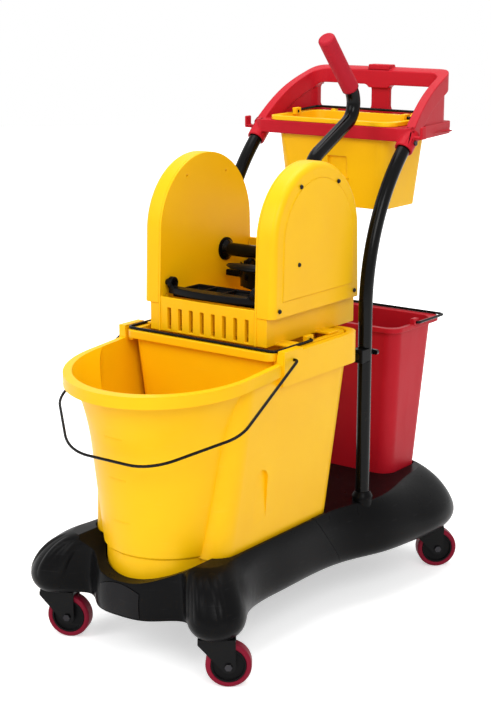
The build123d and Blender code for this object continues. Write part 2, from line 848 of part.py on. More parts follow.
def rim_height(y):
    return rim_front_z + rim_slope * (y - rim_front_y)


def crosswise_prism(points, half):
    """Prism across the cart from a polygon of (y, z) points."""
    with BuildPart() as prism:
        with BuildSketch(upright_plane(-half)):
            Polygon(*points, align=None)
        extrude(amount=2 * half)
    return prism.part


far = 2 * collar_half
over_rim = crosswise_prism([(rim_front_y - far, rim_height(rim_front_y - far)),
                            (collar_front, rim_height(collar_front)), (collar_front, collar_top + far),
                            (rim_front_y - far, collar_top + far)], far)
under_rim = crosswise_prism([(rim_front_y - far, rim_height(rim_front_y - far) - rim_band),
                             (far, rim_height(far) - rim_band), (far, bucket_floor),
                             (rim_front_y - far, bucket_floor)], far)

with BuildPart() as rim_ring:
    with BuildSketch(Plane.XY.offset(rim_front_z - 3 * rim_band)):
        with BuildLine():
            Polyline((-rim_radius, drum_y), (-rim_radius, collar_front), (rim_radius, collar_front),
                     (rim_radius, drum_y))
            ThreePointArc((rim_radius, drum_y), (0, rim_front_y), (-rim_radius, drum_y))
        make_face()
    extrude(amount=collar_top - rim_front_z + 3 * rim_band)
    add(under_rim, mode=Mode.SUBTRACT)

with BuildPart() as collar_ring:
    with BuildSketch(Plane.XY.offset(collar_bottom)):
        with Locations((0, collar_rear)):
            RectangleRounded(2 * collar_half, 2 * (collar_rear - collar_front), bucket_corner,
                             align=(Align.CENTER, Align.MAX))
        with Locations((0, collar_front)):
            Rectangle(2 * collar_half, far, align=(Align.CENTER, Align.MAX), mode=Mode.SUBTRACT)
    extrude(amount=collar_top - collar_bottom)
    for side in (-1, 1):
        outward = Align.MAX if side > 0 else Align.MIN
        with Locations((side * (collar_half + boss_proud), bucket_bail_y, boss_bottom)):
            Box(boss_thickness, boss_length, boss_top - boss_bottom,
                align=(outward, Align.CENTER, Align.MIN))
    with Locations((0, bucket_bail_y, bucket_bail_z)):
        Cylinder(wire_hole, 3 * collar_half, rotation=(0, 90, 0), mode=Mode.SUBTRACT)

with BuildPart() as bucket_hollow:
    add(bucket_form(-bucket_wall, bucket_floor + bucket_floor_thickness, collar_top + rim_band))
    add(side_recess(bucket_wall), mode=Mode.SUBTRACT)

with BuildPart() as mop_bucket:
    add(bucket_form(0, bucket_floor, collar_top))
    add(side_recess(0), mode=Mode.SUBTRACT)
    add(rim_ring.part)
    add(collar_ring.part)
    add(bucket_hollow.part, mode=Mode.SUBTRACT)
    add(over_rim, mode=Mode.SUBTRACT)
    for side in (-1, 1):
        inward = Align.MIN if side > 0 else Align.MAX
        with Locations((side * pan_ledge_half, (pan_flange_front + pan_flange_rear) / 2, pan_ledge_z)):
            Box(bucket_top_half - pan_ledge_half - pan_ledge_sink, pan_ledge_length, pan_ledge_thickness,
                align=(inward, Align.CENTER, Align.MAX))
keep(mop_bucket.part, "mop_bucket")


def bucket_bail_point(x, reach):
    return (x, bucket_bail_y - reach * cos(radians(bucket_bail_hang)),
            bucket_bail_z - reach * sin(radians(bucket_bail_hang)))


bail_shoulder = bucket_bail_half + bucket_bail_swell
bail_end = bucket_top_half + pan_ledge_sink
bail_crown = bucket_bail_reach - bucket_bail_shoulder
bucket_bail = wire_loop(
    [bucket_bail_point(*spot) for spot in (
        (-bail_end, 0), (-bucket_bail_half, 0), (-bail_shoulder, bucket_bail_shoulder),
        (-bail_shoulder + bail_crown, bucket_bail_reach), (bail_shoulder - bail_crown, bucket_bail_reach),
        (bail_shoulder, bucket_bail_shoulder), (bucket_bail_half, 0), (bail_end, 0))],
    [bail_wire, bail_crown / 2, bail_crown, bail_crown, bail_crown / 2, bail_wire])
keep(bucket_bail, "bucket_bail")


# Pan that hangs in the bucket under the wringer
pan_low = (pan_foot_half, pan_foot_front, pan_foot_rear)
pan_high = (pan_top_half, pan_top_front, pan_top_rear)
pan_bail_z = pan_flange_top + bail_rest
with BuildPart() as insert_pan:
    add(rounded_loft(pan_floor, pan_flange_top, pan_low, pan_high, pan_corner))
    with BuildSketch(Plane.XY.offset(pan_flange_bottom)):
        with Locations((0, (pan_flange_front + pan_flange_rear) / 2)):
            RectangleRounded(2 * pan_flange_half, pan_flange_rear - pan_flange_front, pan_corner)
    extrude(amount=pan_flange_top - pan_flange_bottom)
    hollow_floor = pan_floor + pail_wall
    hollow_box = between(pan_low, pan_high, pail_wall / (pan_flange_top - pan_floor))
    add(rounded_loft(hollow_floor, pan_flange_top + pail_wall, hollow_box, pan_high, pan_corner,
                     -pail_wall),
        mode=Mode.SUBTRACT)
    for side in (-1, 1):
        ear_x = side * (pan_ear_inner + pan_ear_outer) / 2
        with Locations((ear_x, pan_bail_y, pan_flange_top - pail_wall)):
            Box(pan_ear_outer - pan_ear_inner, 4 * bail_wire, pail_wall + 2 * bail_wire,
                align=(Align.CENTER, Align.CENTER, Align.MIN))
    with Locations((0, pan_bail_y, pan_bail_z)):
        Cylinder(wire_hole, 2 * pan_flange_half, rotation=(0, 90, 0), mode=Mode.SUBTRACT)
keep(insert_pan.part, "insert_pan")


def swing_bail(half, inner, y, z, reach, tilt):
    """U-shaped wire bail lying towards +Y from its pivots, or towards -Y for a negative reach."""
    lift = abs(reach) * tan(radians(tilt))
    points = [(-inner, y, z), (-half, y, z), (-half, y + reach, z + lift), (half, y + reach, z + lift),
              (half, y, z), (inner, y, z)]
    return wire_loop(points, [bail_wire, 2 * bail_wire, 2 * bail_wire, bail_wire])


keep(swing_bail(pan_bail_half, pan_ear_inner, pan_bail_y, pan_bail_z, -pan_bail_reach, 0), "pan_bail")


# Wringer body: frame, inner cheek walls, back wall and slotted basket
def cheek_arch(inset, bottom):
    """Draw a cheek's arch in the open sketch: local x along +Y, local y along +Z."""
    spring = cheek_radius - inset
    drop = (cheek_spring_z - bottom) / (cheek_spring_z - wringer_bottom)
    foot = between(spring, cheek_foot_half - inset, drop)
    with BuildLine() as arch:
        Polyline((cheek_middle_y - spring, cheek_spring_z), (cheek_middle_y - foot, bottom),
                 (cheek_middle_y + foot, bottom), (cheek_middle_y + spring, cheek_spring_z))
        ThreePointArc((cheek_middle_y + spring, cheek_spring_z), (cheek_middle_y, cheek_top - inset),
                      (cheek_middle_y - spring, cheek_spring_z))
    make_face(arch.edges())


def gear_axis_hole(y, z, radius):
    """Bore across both cheek walls."""
    with Locations((0, y, z)):
        Cylinder(radius, 3 * cheek_outer, rotation=(0, 90, 0), mode=Mode.SUBTRACT)


basket_middle = (basket_front + basket_rear) / 2
basket_top = wringer_bottom + wringer_wall
channel_inner = frame_half - wringer_wall
with BuildPart() as wringer_body:
    for side in (-1, 1):
        with BuildSketch(upright_plane(side * cheek_inner)):
            cheek_arch(0, wringer_bottom)
        extrude(amount=side * wringer_wall)
        with Locations((side * frame_half, (frame_front + frame_rear) / 2, wringer_bottom)):
            outward = Align.MAX if side > 0 else Align.MIN
            Box(wringer_wall, frame_rear - frame_front, cheek_skirt_z - wringer_bottom,
                align=(outward, Align.CENTER, Align.MIN))
        for foot_y in wringer_feet:
            with Locations((side * channel_inner, foot_y, wringer_bottom)):
                inward = Align.MIN if side > 0 else Align.MAX
                Box(wringer_foot_half - channel_inner, wringer_foot_length, wringer_wall + seat_gap,
                    align=(inward, Align.CENTER, Align.MIN))
        for y, z in cheek_screw_spots[:-1]:
            with Locations((side * cheek_inner, y, z)):
                Cylinder(cheek_screw_head * 0.7, cheek_outer - wringer_wall - cheek_inner,
                         rotation=(0, side * 90, 0), align=standing)
    with Locations((0, frame_front, wringer_bottom)):
        Box(2 * frame_half, apron_thickness, cheek_skirt_z - wringer_bottom, align=on_front)
        Box(2 * cheek_wall_outer, apron_lip_thickness, apron_top - wringer_bottom, align=on_front)
    with Locations((0, frame_rear - back_wall_thickness, wringer_bottom)):
        Box(2 * frame_half, back_wall_thickness, cheek_skirt_z - wringer_bottom, align=on_front)
        Box(2 * cheek_wall_outer, back_wall_thickness, back_wall_top - wringer_bottom, align=on_front)
    with Locations((0, frame_front, wringer_bottom)):
        Box(2 * cheek_wall_outer, basket_front - frame_front, wringer_wall, align=on_front)
    with Locations((0, basket_rear, wringer_bottom)):
        Box(2 * cheek_wall_outer, frame_rear - basket_rear, wringer_wall / 2, align=on_front)
    with BuildSketch(upright_plane(-cheek_wall_outer)):
        with BuildLine():
            ThreePointArc((basket_front - wringer_wall, basket_top),
                          (basket_middle, wringer_bottom - basket_depth),
                          (basket_rear + wringer_wall, basket_top))
            Line((basket_rear + wringer_wall, basket_top), (basket_front - wringer_wall, basket_top))
        make_face()
    extrude(amount=2 * cheek_wall_outer)
    with BuildSketch(upright_plane(-cheek_inner)):
        with BuildLine():
            ThreePointArc((basket_front, basket_top + seat_gap),
                          (basket_middle, wringer_bottom - basket_depth + wringer_wall),
                          (basket_rear, basket_top + seat_gap))
            Line((basket_rear, basket_top + seat_gap), (basket_front, basket_top + seat_gap))
        make_face()
    extrude(amount=2 * cheek_inner, mode=Mode.SUBTRACT)
    with Locations((0, basket_middle, wringer_bottom - basket_depth)):
        with GridLocations(basket_slot_pitch, 1, basket_slot_count, 1):
            Box(basket_slot_width, (basket_rear - basket_front) * 0.6, basket_depth, mode=Mode.SUBTRACT)
    with Locations((0, frame_front, (apron_slot_bottom + apron_slot_top) / 2)):
        with GridLocations(apron_slot_pitch, 1, apron_slot_count, 1):
            Box(apron_slot_width, 3 * apron_thickness, apron_slot_top - apron_slot_bottom,
                mode=Mode.SUBTRACT)
    gear_axis_hole(shaft_y, shaft_z, shaft_radius + bush_wall)
    gear_axis_hole(jaw_front_y, jaw_z, jaw_pin_diameter / 2 + running_clearance)
    gear_axis_hole(jaw_rear_y, jaw_z, jaw_pin_diameter / 2 + running_clearance)
    for y, z in cheek_screw_spots[:-1]:
        gear_axis_hole(y, z, cheek_screw_diameter / 2)
keep(wringer_body.part, "wringer_body")

for side in (-1, 1):
    with BuildPart() as cheek_cover:
        with BuildSketch(upright_plane(side * cheek_wall_outer)):
            cheek_arch(0, cheek_skirt_z)
        extrude(amount=side * (cheek_outer - cheek_wall_outer))
        face = cheek_cover.faces().sort_by(Axis.X)[-1 if side > 0 else 0]
        arch_edges = face.edges().sort_by(Axis.Z)[1:]
        fillet(arch_edges, cheek_round)
        with BuildSketch(upright_plane(side * cheek_outer)):
            cheek_arch(panel_inset, cheek_skirt_z + panel_inset)
        extrude(amount=side * panel_emboss)
        with BuildSketch(upright_plane(side * cheek_wall_outer)):
            cheek_arch(wringer_wall, cheek_skirt_z)
        extrude(amount=side * (cheek_outer - cheek_wall_outer - cheek_round), mode=Mode.SUBTRACT)
        with BuildSketch(upright_plane(side * cheek_wall_outer)):
            cheek_arch(cheek_round, cheek_skirt_z)
        extrude(amount=side * (cheek_outer - cheek_wall_outer - wringer_wall), mode=Mode.SUBTRACT)
        for y, z in cheek_screw_spots:
            gear_axis_hole(y, z, cheek_screw_diameter / 2)
    keep(cheek_cover.part, f"cheek_cover_{side_name(side)}")

with BuildPart() as cheek_screws:
    for side in (-1, 1):
        for y, z in cheek_screw_spots:
            panel_face = cheek_outer + (panel_emboss if (y, z) == cheek_screw_spots[-1] else 0)
            with Locations((side * panel_face, y, z)):
                Cylinder(cheek_screw_head / 2, panel_emboss, rotation=(0, side * 90, 0), align=standing)
                Cylinder(cheek_screw_diameter / 2, cheek_screw_length, rotation=(0, side * 90, 0),
                         align=hanging)
keep(cheek_screws.part, "cheek_screws")


# Wringer drive: shaft in flanged bushes, lever hub, toothed sectors and two press plates
def ring_on_x(x, y, z, outer, inner, width):
    """Ring round an axis along X, from x to x + width."""
    with Locations((x, y, z)):
        Cylinder(outer, width, rotation=(0, 90, 0), align=standing)
    with Locations((x, y, z)):
        Cylinder(inner, width, rotation=(0, 90, 0), align=standing, mode=Mode.SUBTRACT)


for side in (-1, 1):
    with BuildPart() as shaft_bush:
        with Locations((side * cheek_wall_outer, shaft_y, shaft_z)):
            Cylinder(shaft_radius + bush_wall, wringer_wall, rotation=(0, -side * 90, 0), align=standing)
        with Locations((side * cheek_inner, shaft_y, shaft_z)):
            Cylinder(shaft_flange_diameter / 2, bush_wall, rotation=(0, -side * 90, 0), align=standing)
        with Locations((0, shaft_y, shaft_z)):
            Cylinder(shaft_radius + running_clearance, 3 * cheek_outer, rotation=(0, 90, 0),
                     mode=Mode.SUBTRACT)
    keep(shaft_bush.part, f"shaft_bush_{side_name(side)}")

shaft_left = -(cheek_wall_outer + gear_layer_gap + gear_width / 2)
shaft_right = gear_near_x + gear_width + gear_layer_gap / 2
with BuildPart() as lever_shaft:
    with Locations((shaft_left, shaft_y, shaft_z)):
        Cylinder(shaft_radius, shaft_right - shaft_left, rotation=(0, 90, 0), align=standing)
    cone_end = cheek_inner - bush_wall - seat_gap
    with BuildSketch(Plane(origin=(0, shaft_y, shaft_z), x_dir=(1, 0, 0), z_dir=(0, -1, 0))):
        Polygon((-cone_end, 0), (-cone_end, shaft_flange_diameter / 2 - bush_wall),
                (-cone_end + shaft_cone / 4, shaft_flange_diameter / 2 - bush_wall),
                (-cone_end + shaft_cone, shaft_radius), (-cone_end + shaft_cone, 0), align=None)
    revolve(axis=Axis((0, shaft_y, shaft_z), (1, 0, 0)))
keep(lever_shaft.part, "lever_shaft")

lever_socket_radius = lever_radius + lever_hub_wall
lever_foot_z = shaft_z + shaft_radius + lever_hub_wall
lever_socket_top = shaft_z + lever_socket_height
lever_pin_z = (lever_foot_z + lever_socket_top) / 2
with BuildPart() as lever_hub:
    with Locations((lever_x, shaft_y, shaft_z)):
        Cylinder(lever_hub_diameter / 2, lever_hub_width, rotation=(0, 90, 0))
        Cylinder(lever_socket_radius, lever_socket_height, align=standing)
        Cylinder(shaft_radius, 2 * lever_hub_width, rotation=(0, 90, 0), mode=Mode.SUBTRACT)
    with Locations((lever_x, shaft_y, lever_foot_z)):
        Cylinder(lever_radius, lever_socket_height, align=standing, mode=Mode.SUBTRACT)
    with Locations((lever_x, shaft_y, lever_pin_z)):
        Cylinder(lever_pin_diameter / 2, 2 * lever_hub_width, rotation=(0, 90, 0), mode=Mode.SUBTRACT)
keep(lever_hub.part, "lever_hub")

lever_path = [(lever_x, shaft_y, lever_foot_z), (lever_x, shaft_y, lever_knee_z),
              (lever_x, *lever_elbow), (lever_x, *lever_tip)]
with BuildPart() as lever_tube:
    add(tube(lever_path, [lever_knee_radius, lever_elbow_radius], lever_radius, lever_radius - lever_wall))
    with Locations((lever_x, shaft_y, lever_pin_z)):
        Cylinder(lever_pin_diameter / 2, 2 * lever_hub_width, rotation=(0, 90, 0), mode=Mode.SUBTRACT)
keep(lever_tube.part, "lever_tube")

with BuildPart() as lever_pin:
    with Locations((lever_x, shaft_y, lever_pin_z)):
        Cylinder(lever_pin_diameter / 2, 2 * lever_socket_radius, rotation=(0, 90, 0))
keep(lever_pin.part, "lever_pin")

grip_lean = (lever_tip[0] - lever_elbow[0], lever_tip[1] - lever_elbow[1])
grip_size = hypot(*grip_lean)
grip_lead = (0, grip_lean[0] / grip_size, grip_lean[1] / grip_size)
grip_base = (lever_x, lever_tip[0] - grip_lead[1] * grip_length, lever_tip[1] - grip_lead[2] * grip_length)
grip_plane = Plane(origin=grip_base, x_dir=(1, 0, 0), z_dir=grip_lead)
with BuildPart() as lever_grip:
    with BuildSketch(grip_plane):
        Circle(grip_diameter / 2)
    extrude(amount=grip_length + grip_end_cap)
    grip_end = lever_grip.faces().sort_by(Axis(origin=grip_base, direction=grip_lead))[-1]
    fillet(grip_end.edges(), grip_end_cap)
    with BuildSketch(grip_plane):
        Circle(lever_radius)
    extrude(amount=grip_length, mode=Mode.SUBTRACT)
keep(lever_grip.part, "lever_grip")


def involute(angle):
    return tan(angle) - angle


def tooth_outline(teeth, centre):
    """One tooth as polar points about the gear's axis, pointing along an angle in degrees."""
    pitch = gear_module * teeth / 2
    pressure = radians(20)
    base = pitch * cos(pressure)
    root = pitch - 1.25 * gear_module
    tip = pitch + gear_module
    half = pi / (2 * teeth) - gear_backlash / (2 * pitch)
    flank = [(root - gear_module / 4, half + involute(pressure))]
    for step in range(5):
        radius = between(max(base, root), tip, step / 4)
        flank.append((radius, half + involute(pressure) - involute(acos(base / radius))))
    middle = radians(centre)
    left = [(r * cos(middle - a), r * sin(middle - a)) for r, a in flank]
    right = [(r * cos(middle + a), r * sin(middle + a)) for r, a in reversed(flank)]
    return left + right


def toothed_sector(x, y, z, teeth, start, end, first, bore):
    """Sector of a spur gear on an axis along X, with a tooth centred on the angle first."""
    root = gear_module * teeth / 2 - 1.25 * gear_module
    step = 360 / teeth
    with BuildPart() as sector:
        with BuildSketch(Plane(origin=(x, y, z), x_dir=(0, 1, 0), z_dir=(1, 0, 0))):
            with BuildLine():
                rim = CenterArc((0, 0), root, start, end - start)
                Polyline(rim @ 1, (0, 0), rim @ 0)
            make_face()
            inner_rim = root - gear_rim
            hub = bore + gear_rim / 2
            spread = radians((start + end) / 2)
            with Locations((0.58 * root * cos(spread), 0.58 * root * sin(spread))):
                Circle((inner_rim - hub) / 4, mode=Mode.SUBTRACT)
            Circle(hub)
            index = -teeth
            while index < teeth:
                centre = first + index * step
                if start + step / 2 <= centre <= end - step / 2:
                    Polygon(*tooth_outline(teeth, centre), align=None)
                index += 1
            Circle(bore, mode=Mode.SUBTRACT)
        extrude(amount=gear_width)
    return sector.part


# The shaft's sector meets the front plate's near sector, whose far sector meets the rear plate's
drive_throw = lever_throw
jaw_throw = drive_throw * drive_teeth / jaw_teeth
drive_mesh = 180 + mesh_angle
tooth_angle = 360 / jaw_teeth
sector_spare = 6
keep(toothed_sector(gear_near_x, shaft_y, shaft_z, drive_teeth, drive_mesh - drive_throw - 2 * sector_spare,
                    drive_mesh + 2 * sector_spare, drive_mesh, shaft_radius), "drive_sector")
with BuildPart() as front_jaw_sector:
    add(toothed_sector(gear_near_x, jaw_front_y, jaw_z, jaw_teeth, mesh_angle - sector_spare,
                       mesh_angle + jaw_throw + sector_spare, mesh_angle + tooth_angle / 2,
                       jaw_pin_diameter / 2))
    add(toothed_sector(gear_far_x, jaw_front_y, jaw_z, jaw_teeth, -sector_spare / 2,
                       jaw_throw + sector_spare, 0, jaw_pin_diameter / 2))
    ring_on_x(gear_near_x + gear_width, jaw_front_y, jaw_z, jaw_boss_diameter / 2, jaw_pin_diameter / 2,
              gear_layer_gap)
keep(front_jaw_sector.part, "front_jaw_sector")
keep(toothed_sector(gear_far_x, jaw_rear_y, jaw_z, jaw_teeth, 180 - jaw_throw - sector_spare,
                    180 + sector_spare / 2, 180 + tooth_angle / 2, jaw_pin_diameter / 2), "rear_jaw_sector")

for label, y in (("front", jaw_front_y), ("rear", jaw_rear_y)):
    with BuildPart() as jaw_pins:
        inner_end = jaw_half - jaw_boss_width
        right_end = gear_far_x + gear_width
        with Locations((inner_end, y, jaw_z)):
            Cylinder(jaw_pin_diameter / 2, right_end - inner_end, rotation=(0, 90, 0), align=standing)
        with Locations((-inner_end, y, jaw_z)):
            Cylinder(jaw_pin_diameter / 2, cheek_wall_outer + gear_layer_gap - inner_end,
                     rotation=(0, -90, 0), align=standing)
    keep(jaw_pins.part, f"{label}_jaw_pins")


def jaw_bosses(y):
    for side in (-1, 1):
        with Locations((side * jaw_half, y, jaw_z)):
            Cylinder(jaw_boss_diameter / 2, jaw_boss_width, rotation=(0, -side * 90, 0), align=standing)


def jaw_pin_holes(y):
    with Locations((0, y, jaw_z)):
        Cylinder(jaw_pin_diameter / 2, 3 * cheek_outer, rotation=(0, 90, 0), mode=Mode.SUBTRACT)


jaw_bar_z = jaw_z - front_jaw_bar
rail_y = jaw_front_y + front_jaw_reach
rib_pitch = 2 * (jaw_half - jaw_boss_width) / (front_jaw_rib_count - 1)
with BuildPart() as front_press_plate:
    jaw_bosses(jaw_front_y)
    with BuildSketch(Plane.XY.offset(jaw_bar_z - front_jaw_bar / 2)):
        with BuildLine():
            bar_edge = jaw_front_y - front_jaw_bar / 2
            ThreePointArc((-jaw_half, bar_edge), (0, bar_edge - front_jaw_bow), (jaw_half, bar_edge))
            Polyline((jaw_half, bar_edge), (jaw_half, bar_edge + front_jaw_bar),
                     (-jaw_half, bar_edge + front_jaw_bar), (-jaw_half, bar_edge))
        make_face()
    extrude(amount=front_jaw_bar)
    with Locations((0, rail_y, jaw_bar_z - front_jaw_bar / 2)):
        Box(2 * (jaw_half - jaw_boss_width), front_jaw_rail, front_jaw_bar)
    with BuildSketch(upright_plane(-(jaw_half - front_jaw_rib))):
        with BuildLine():
            low = jaw_bar_z - front_jaw_bar
            sag = low - front_jaw_rib
            middle = (jaw_front_y + rail_y) / 2
            Polyline((jaw_front_y, low), (jaw_front_y, low + front_jaw_rail))
            ThreePointArc((jaw_front_y, low + front_jaw_rail), (middle, sag + front_jaw_rib),
                          (rail_y, low + front_jaw_rail))
            Line((rail_y, low + front_jaw_rail), (rail_y, low))
            ThreePointArc((rail_y, low), (middle, sag), (jaw_front_y, low))
        make_face()
    extrude(amount=2 * (jaw_half - front_jaw_rib))
    with Locations((0, (jaw_front_y + rail_y) / 2, jaw_bar_z - front_jaw_bar / 2)):
        with GridLocations(rib_pitch, 1, front_jaw_rib_count, 1):
            Box(front_jaw_rib, front_jaw_reach, front_jaw_bar)
    jaw_pin_holes(jaw_front_y)
keep(front_press_plate.part, "front_press_plate")

plate_back = jaw_rear_y - rear_jaw_near
plate_nose = jaw_rear_y - rear_jaw_far
arm_span = jaw_rear_y - plate_back
with BuildPart() as rear_press_plate:
    jaw_bosses(jaw_rear_y)
    for side in (-1, 1):
        with Locations((side * (jaw_half - jaw_boss_width / 2), plate_back, jaw_z)):
            Box(rear_jaw_arm, arm_span, jaw_boss_diameter / 2,
                align=(Align.CENTER, Align.MIN, Align.MAX))
    with Locations((0, plate_back, jaw_z)):
        Box(2 * jaw_half - jaw_boss_width + rear_jaw_arm, 1.5 * rear_jaw_arm, jaw_boss_diameter / 2,
            align=(Align.CENTER, Align.CENTER, Align.MAX))
    with BuildSketch(Plane.XY.offset(rear_jaw_bottom)):
        with BuildLine():
            ThreePointArc((-rear_jaw_half, plate_back), (0, plate_nose), (rear_jaw_half, plate_back))
            ThreePointArc((rear_jaw_half, plate_back), (0, plate_nose + rear_jaw_plate),
                          (-rear_jaw_half, plate_back))
        make_face()
    extrude(amount=rear_jaw_top - rear_jaw_bottom)
    rib_y = (plate_nose + rear_jaw_plate / 2 + plate_back) / 2
    for side in (-1, 0, 1):
        with Locations((side * rear_jaw_half / 2, rib_y, jaw_z)):
            Box(rear_jaw_arm, plate_back - plate_nose - rear_jaw_plate / 2, jaw_boss_diameter / 2,
                align=(Align.CENTER, Align.CENTER, Align.MAX))
    jaw_pin_holes(jaw_rear_y)
keep(rear_press_plate.part, "rear_press_plate")


# Handle tray: deck, fins, back panel with windows and the push bar
def hoop(outer_gap, side_width, rear_front, rear_back, low, high):
    """Upright band in plan: two converging sides and a back, with rounded rear corners."""
    outer_front = tray_front_half - outer_gap
    outer_rear = tray_rear_half - outer_gap
    mouth = tray_front - hoop_corner
    with BuildPart() as band:
        with BuildSketch(Plane.XY.offset(low)) as outside:
            Polygon((-outer_front, tray_front), (outer_front, tray_front), (outer_rear, rear_back),
                    (-outer_rear, rear_back), align=None)
            fillet(outside.vertices().group_by(Axis.Y)[-1], hoop_corner)
        extrude(amount=high - low)
        with BuildSketch(Plane.XY.offset(low)) as inside:
            Polygon((-outer_front + side_width, mouth), (outer_front - side_width, mouth),
                    (outer_rear - side_width, rear_front), (-outer_rear + side_width, rear_front),
                    align=None)
            fillet(inside.vertices().group_by(Axis.Y)[-1], hoop_corner - side_width)
        extrude(amount=high - low, mode=Mode.SUBTRACT)
    return band.part


def under_crest(drop):
    """Prism across the cart below the handle's crest, or a band of the given depth along it."""
    crest_points = [*fin_crest, (bar_rear, bar_top)]
    low_points = [(y + drop / 3, z - drop) for y, z in crest_points]
    end_y = bar_rear + bar_depth
    with BuildPart() as prism:
        with BuildSketch(upright_plane(-tray_front_half)):
            with BuildLine():
                crest = Spline(*crest_points, tangents=((1, 1), (1, 0)))
                top = Line(crest @ 1, (end_y, bar_top))
                if drop:
                    low = Spline(*low_points, tangents=((1, 1), (1, 0)))
                    Polyline(top @ 1, (end_y, bar_top - drop), low @ 1)
                    Line(low @ 0, crest @ 0)
                else:
                    Polyline(top @ 1, (end_y, tray_underside), (fin_crest[0][0], tray_underside), crest @ 0)
            make_face()
        extrude(amount=2 * tray_front_half)
    return prism.part


bar_front = bar_rear - bar_depth
panel_middle = bar_rear - bar_depth / 2
with BuildPart() as handle_wall:
    add(hoop(fin_bead_proud, fin_thickness, panel_middle - back_panel_thickness / 2,
             panel_middle + back_panel_thickness / 2, tray_top - tray_skin, bar_top))
    add(under_crest(0), mode=Mode.INTERSECT)

with BuildPart() as handle_bead:
    add(hoop(0, fin_bead, bar_front, bar_rear, tray_underside, bar_top))
    add(under_crest(bar_height), mode=Mode.INTERSECT)

with BuildPart() as handle_tray:
    with BuildSketch(Plane.XY.offset(tray_underside)) as deck:
        Polygon((-tray_front_half, tray_front), (tray_front_half, tray_front), (tray_rear_half, tray_rear),
                (-tray_rear_half, tray_rear), align=None)
        fillet(deck.vertices().group_by(Axis.Y)[0], tray_corner)
    extrude(amount=tray_top - tray_underside)
    with BuildSketch(Plane.XY.offset(tray_underside)):
        add(deck.sketch_local)
        offset(amount=-tray_skin)
    extrude(amount=tray_top - tray_underside - tray_skin, mode=Mode.SUBTRACT)
    with BuildSketch(Plane.XY.offset(tray_underside)):
        with Locations((0, (tray_opening_front + tray_opening_rear) / 2)):
            RectangleRounded(2 * tray_opening_half + 2 * tray_skin,
                             tray_opening_rear - tray_opening_front + 2 * tray_skin, caddy_corner)
    extrude(amount=tray_top - tray_underside)
    for side in (-1, 1):
        socket_plane = Plane(origin=(side * post_x, *post_socket_at), x_dir=(1, 0, 0), z_dir=post_lead)
        with BuildSketch(socket_plane):
            Circle(post_radius + tray_socket_wall)
        extrude(amount=post_socket_depth + tray_skin)
        ledge_x = side * (tray_rear_half + ledge_reach)
        with BuildSketch(Plane.XY.offset(tray_underside + tray_skin)):
            ledge_root = side * (tray_rear_half - tray_skin)
            Polygon((ledge_root, ledge_front), (ledge_x, ledge_front + ledge_reach),
                    (ledge_x, tray_rear - ledge_reach), (ledge_root, tray_rear), align=None)
        extrude(amount=ledge_thickness)
        with Locations((side * (tray_front_half - tray_skin), hook_y, tray_underside + tray_skin)):
            inward = Align.MIN if side > 0 else Align.MAX
            Box(hook_reach, hook_width, hook_thickness, align=(inward, Align.CENTER, Align.MIN))
        hook_x = side * (tray_front_half - tray_skin + hook_reach)
        with Locations((hook_x, hook_y, tray_underside + tray_skin)):
            outward = Align.MAX if side > 0 else Align.MIN
            Box(hook_thickness, hook_width, hook_height, align=(outward, Align.CENTER, Align.MIN))
    add(handle_wall.part)
    add(handle_bead.part)
    with Locations((0, panel_middle, bar_top - clip_height)):
        Box(clip_width, bar_depth - clip_height, 2 * clip_height, align=standing)
    with BuildSketch(Plane(origin=(0, bar_rear + bar_depth, 0), x_dir=(-1, 0, 0), z_dir=(0, 1, 0))):
        window_width = window_half - strut_width / 2
        for side in (-1, 1):
            window_x = side * (window_half + strut_width / 2) / 2
            with Locations((window_x, (window_bottom + window_top) / 2)):
                RectangleRounded(window_width, window_top - window_bottom, window_corner)
    extrude(amount=-3 * bar_depth, mode=Mode.SUBTRACT)
    with BuildSketch(Plane.XY.offset(tray_underside - tray_skin)):
        with Locations((0, (tray_opening_front + tray_opening_rear) / 2)):
            RectangleRounded(2 * tray_opening_half, tray_opening_rear - tray_opening_front, caddy_corner)
    extrude(amount=tray_top - tray_underside + 2 * tray_skin, mode=Mode.SUBTRACT)
    for side in (-1, 1):
        socket_plane = Plane(origin=(side * post_x, *post_socket_at), x_dir=(1, 0, 0), z_dir=post_lead)
        with BuildSketch(socket_plane.offset(-post_socket_depth)):
            Circle(post_radius + running_clearance)
        extrude(amount=2 * post_socket_depth, mode=Mode.SUBTRACT)
        with Locations(screw_place(side)):
            Cylinder(tray_screw_diameter / 2, 2 * post_diameter, mode=Mode.SUBTRACT)
keep(handle_tray.part, "handle_tray")

with BuildPart() as tray_screws:
    for side in (-1, 1):
        with Locations(screw_place(side)):
            Cylinder(tray_screw_diameter / 2, tray_screw_length, align=hanging)
            Cylinder(tray_screw_head / 2, tray_screw_diameter / 2, align=standing)
keep(tray_screws.part, "tray_screws")


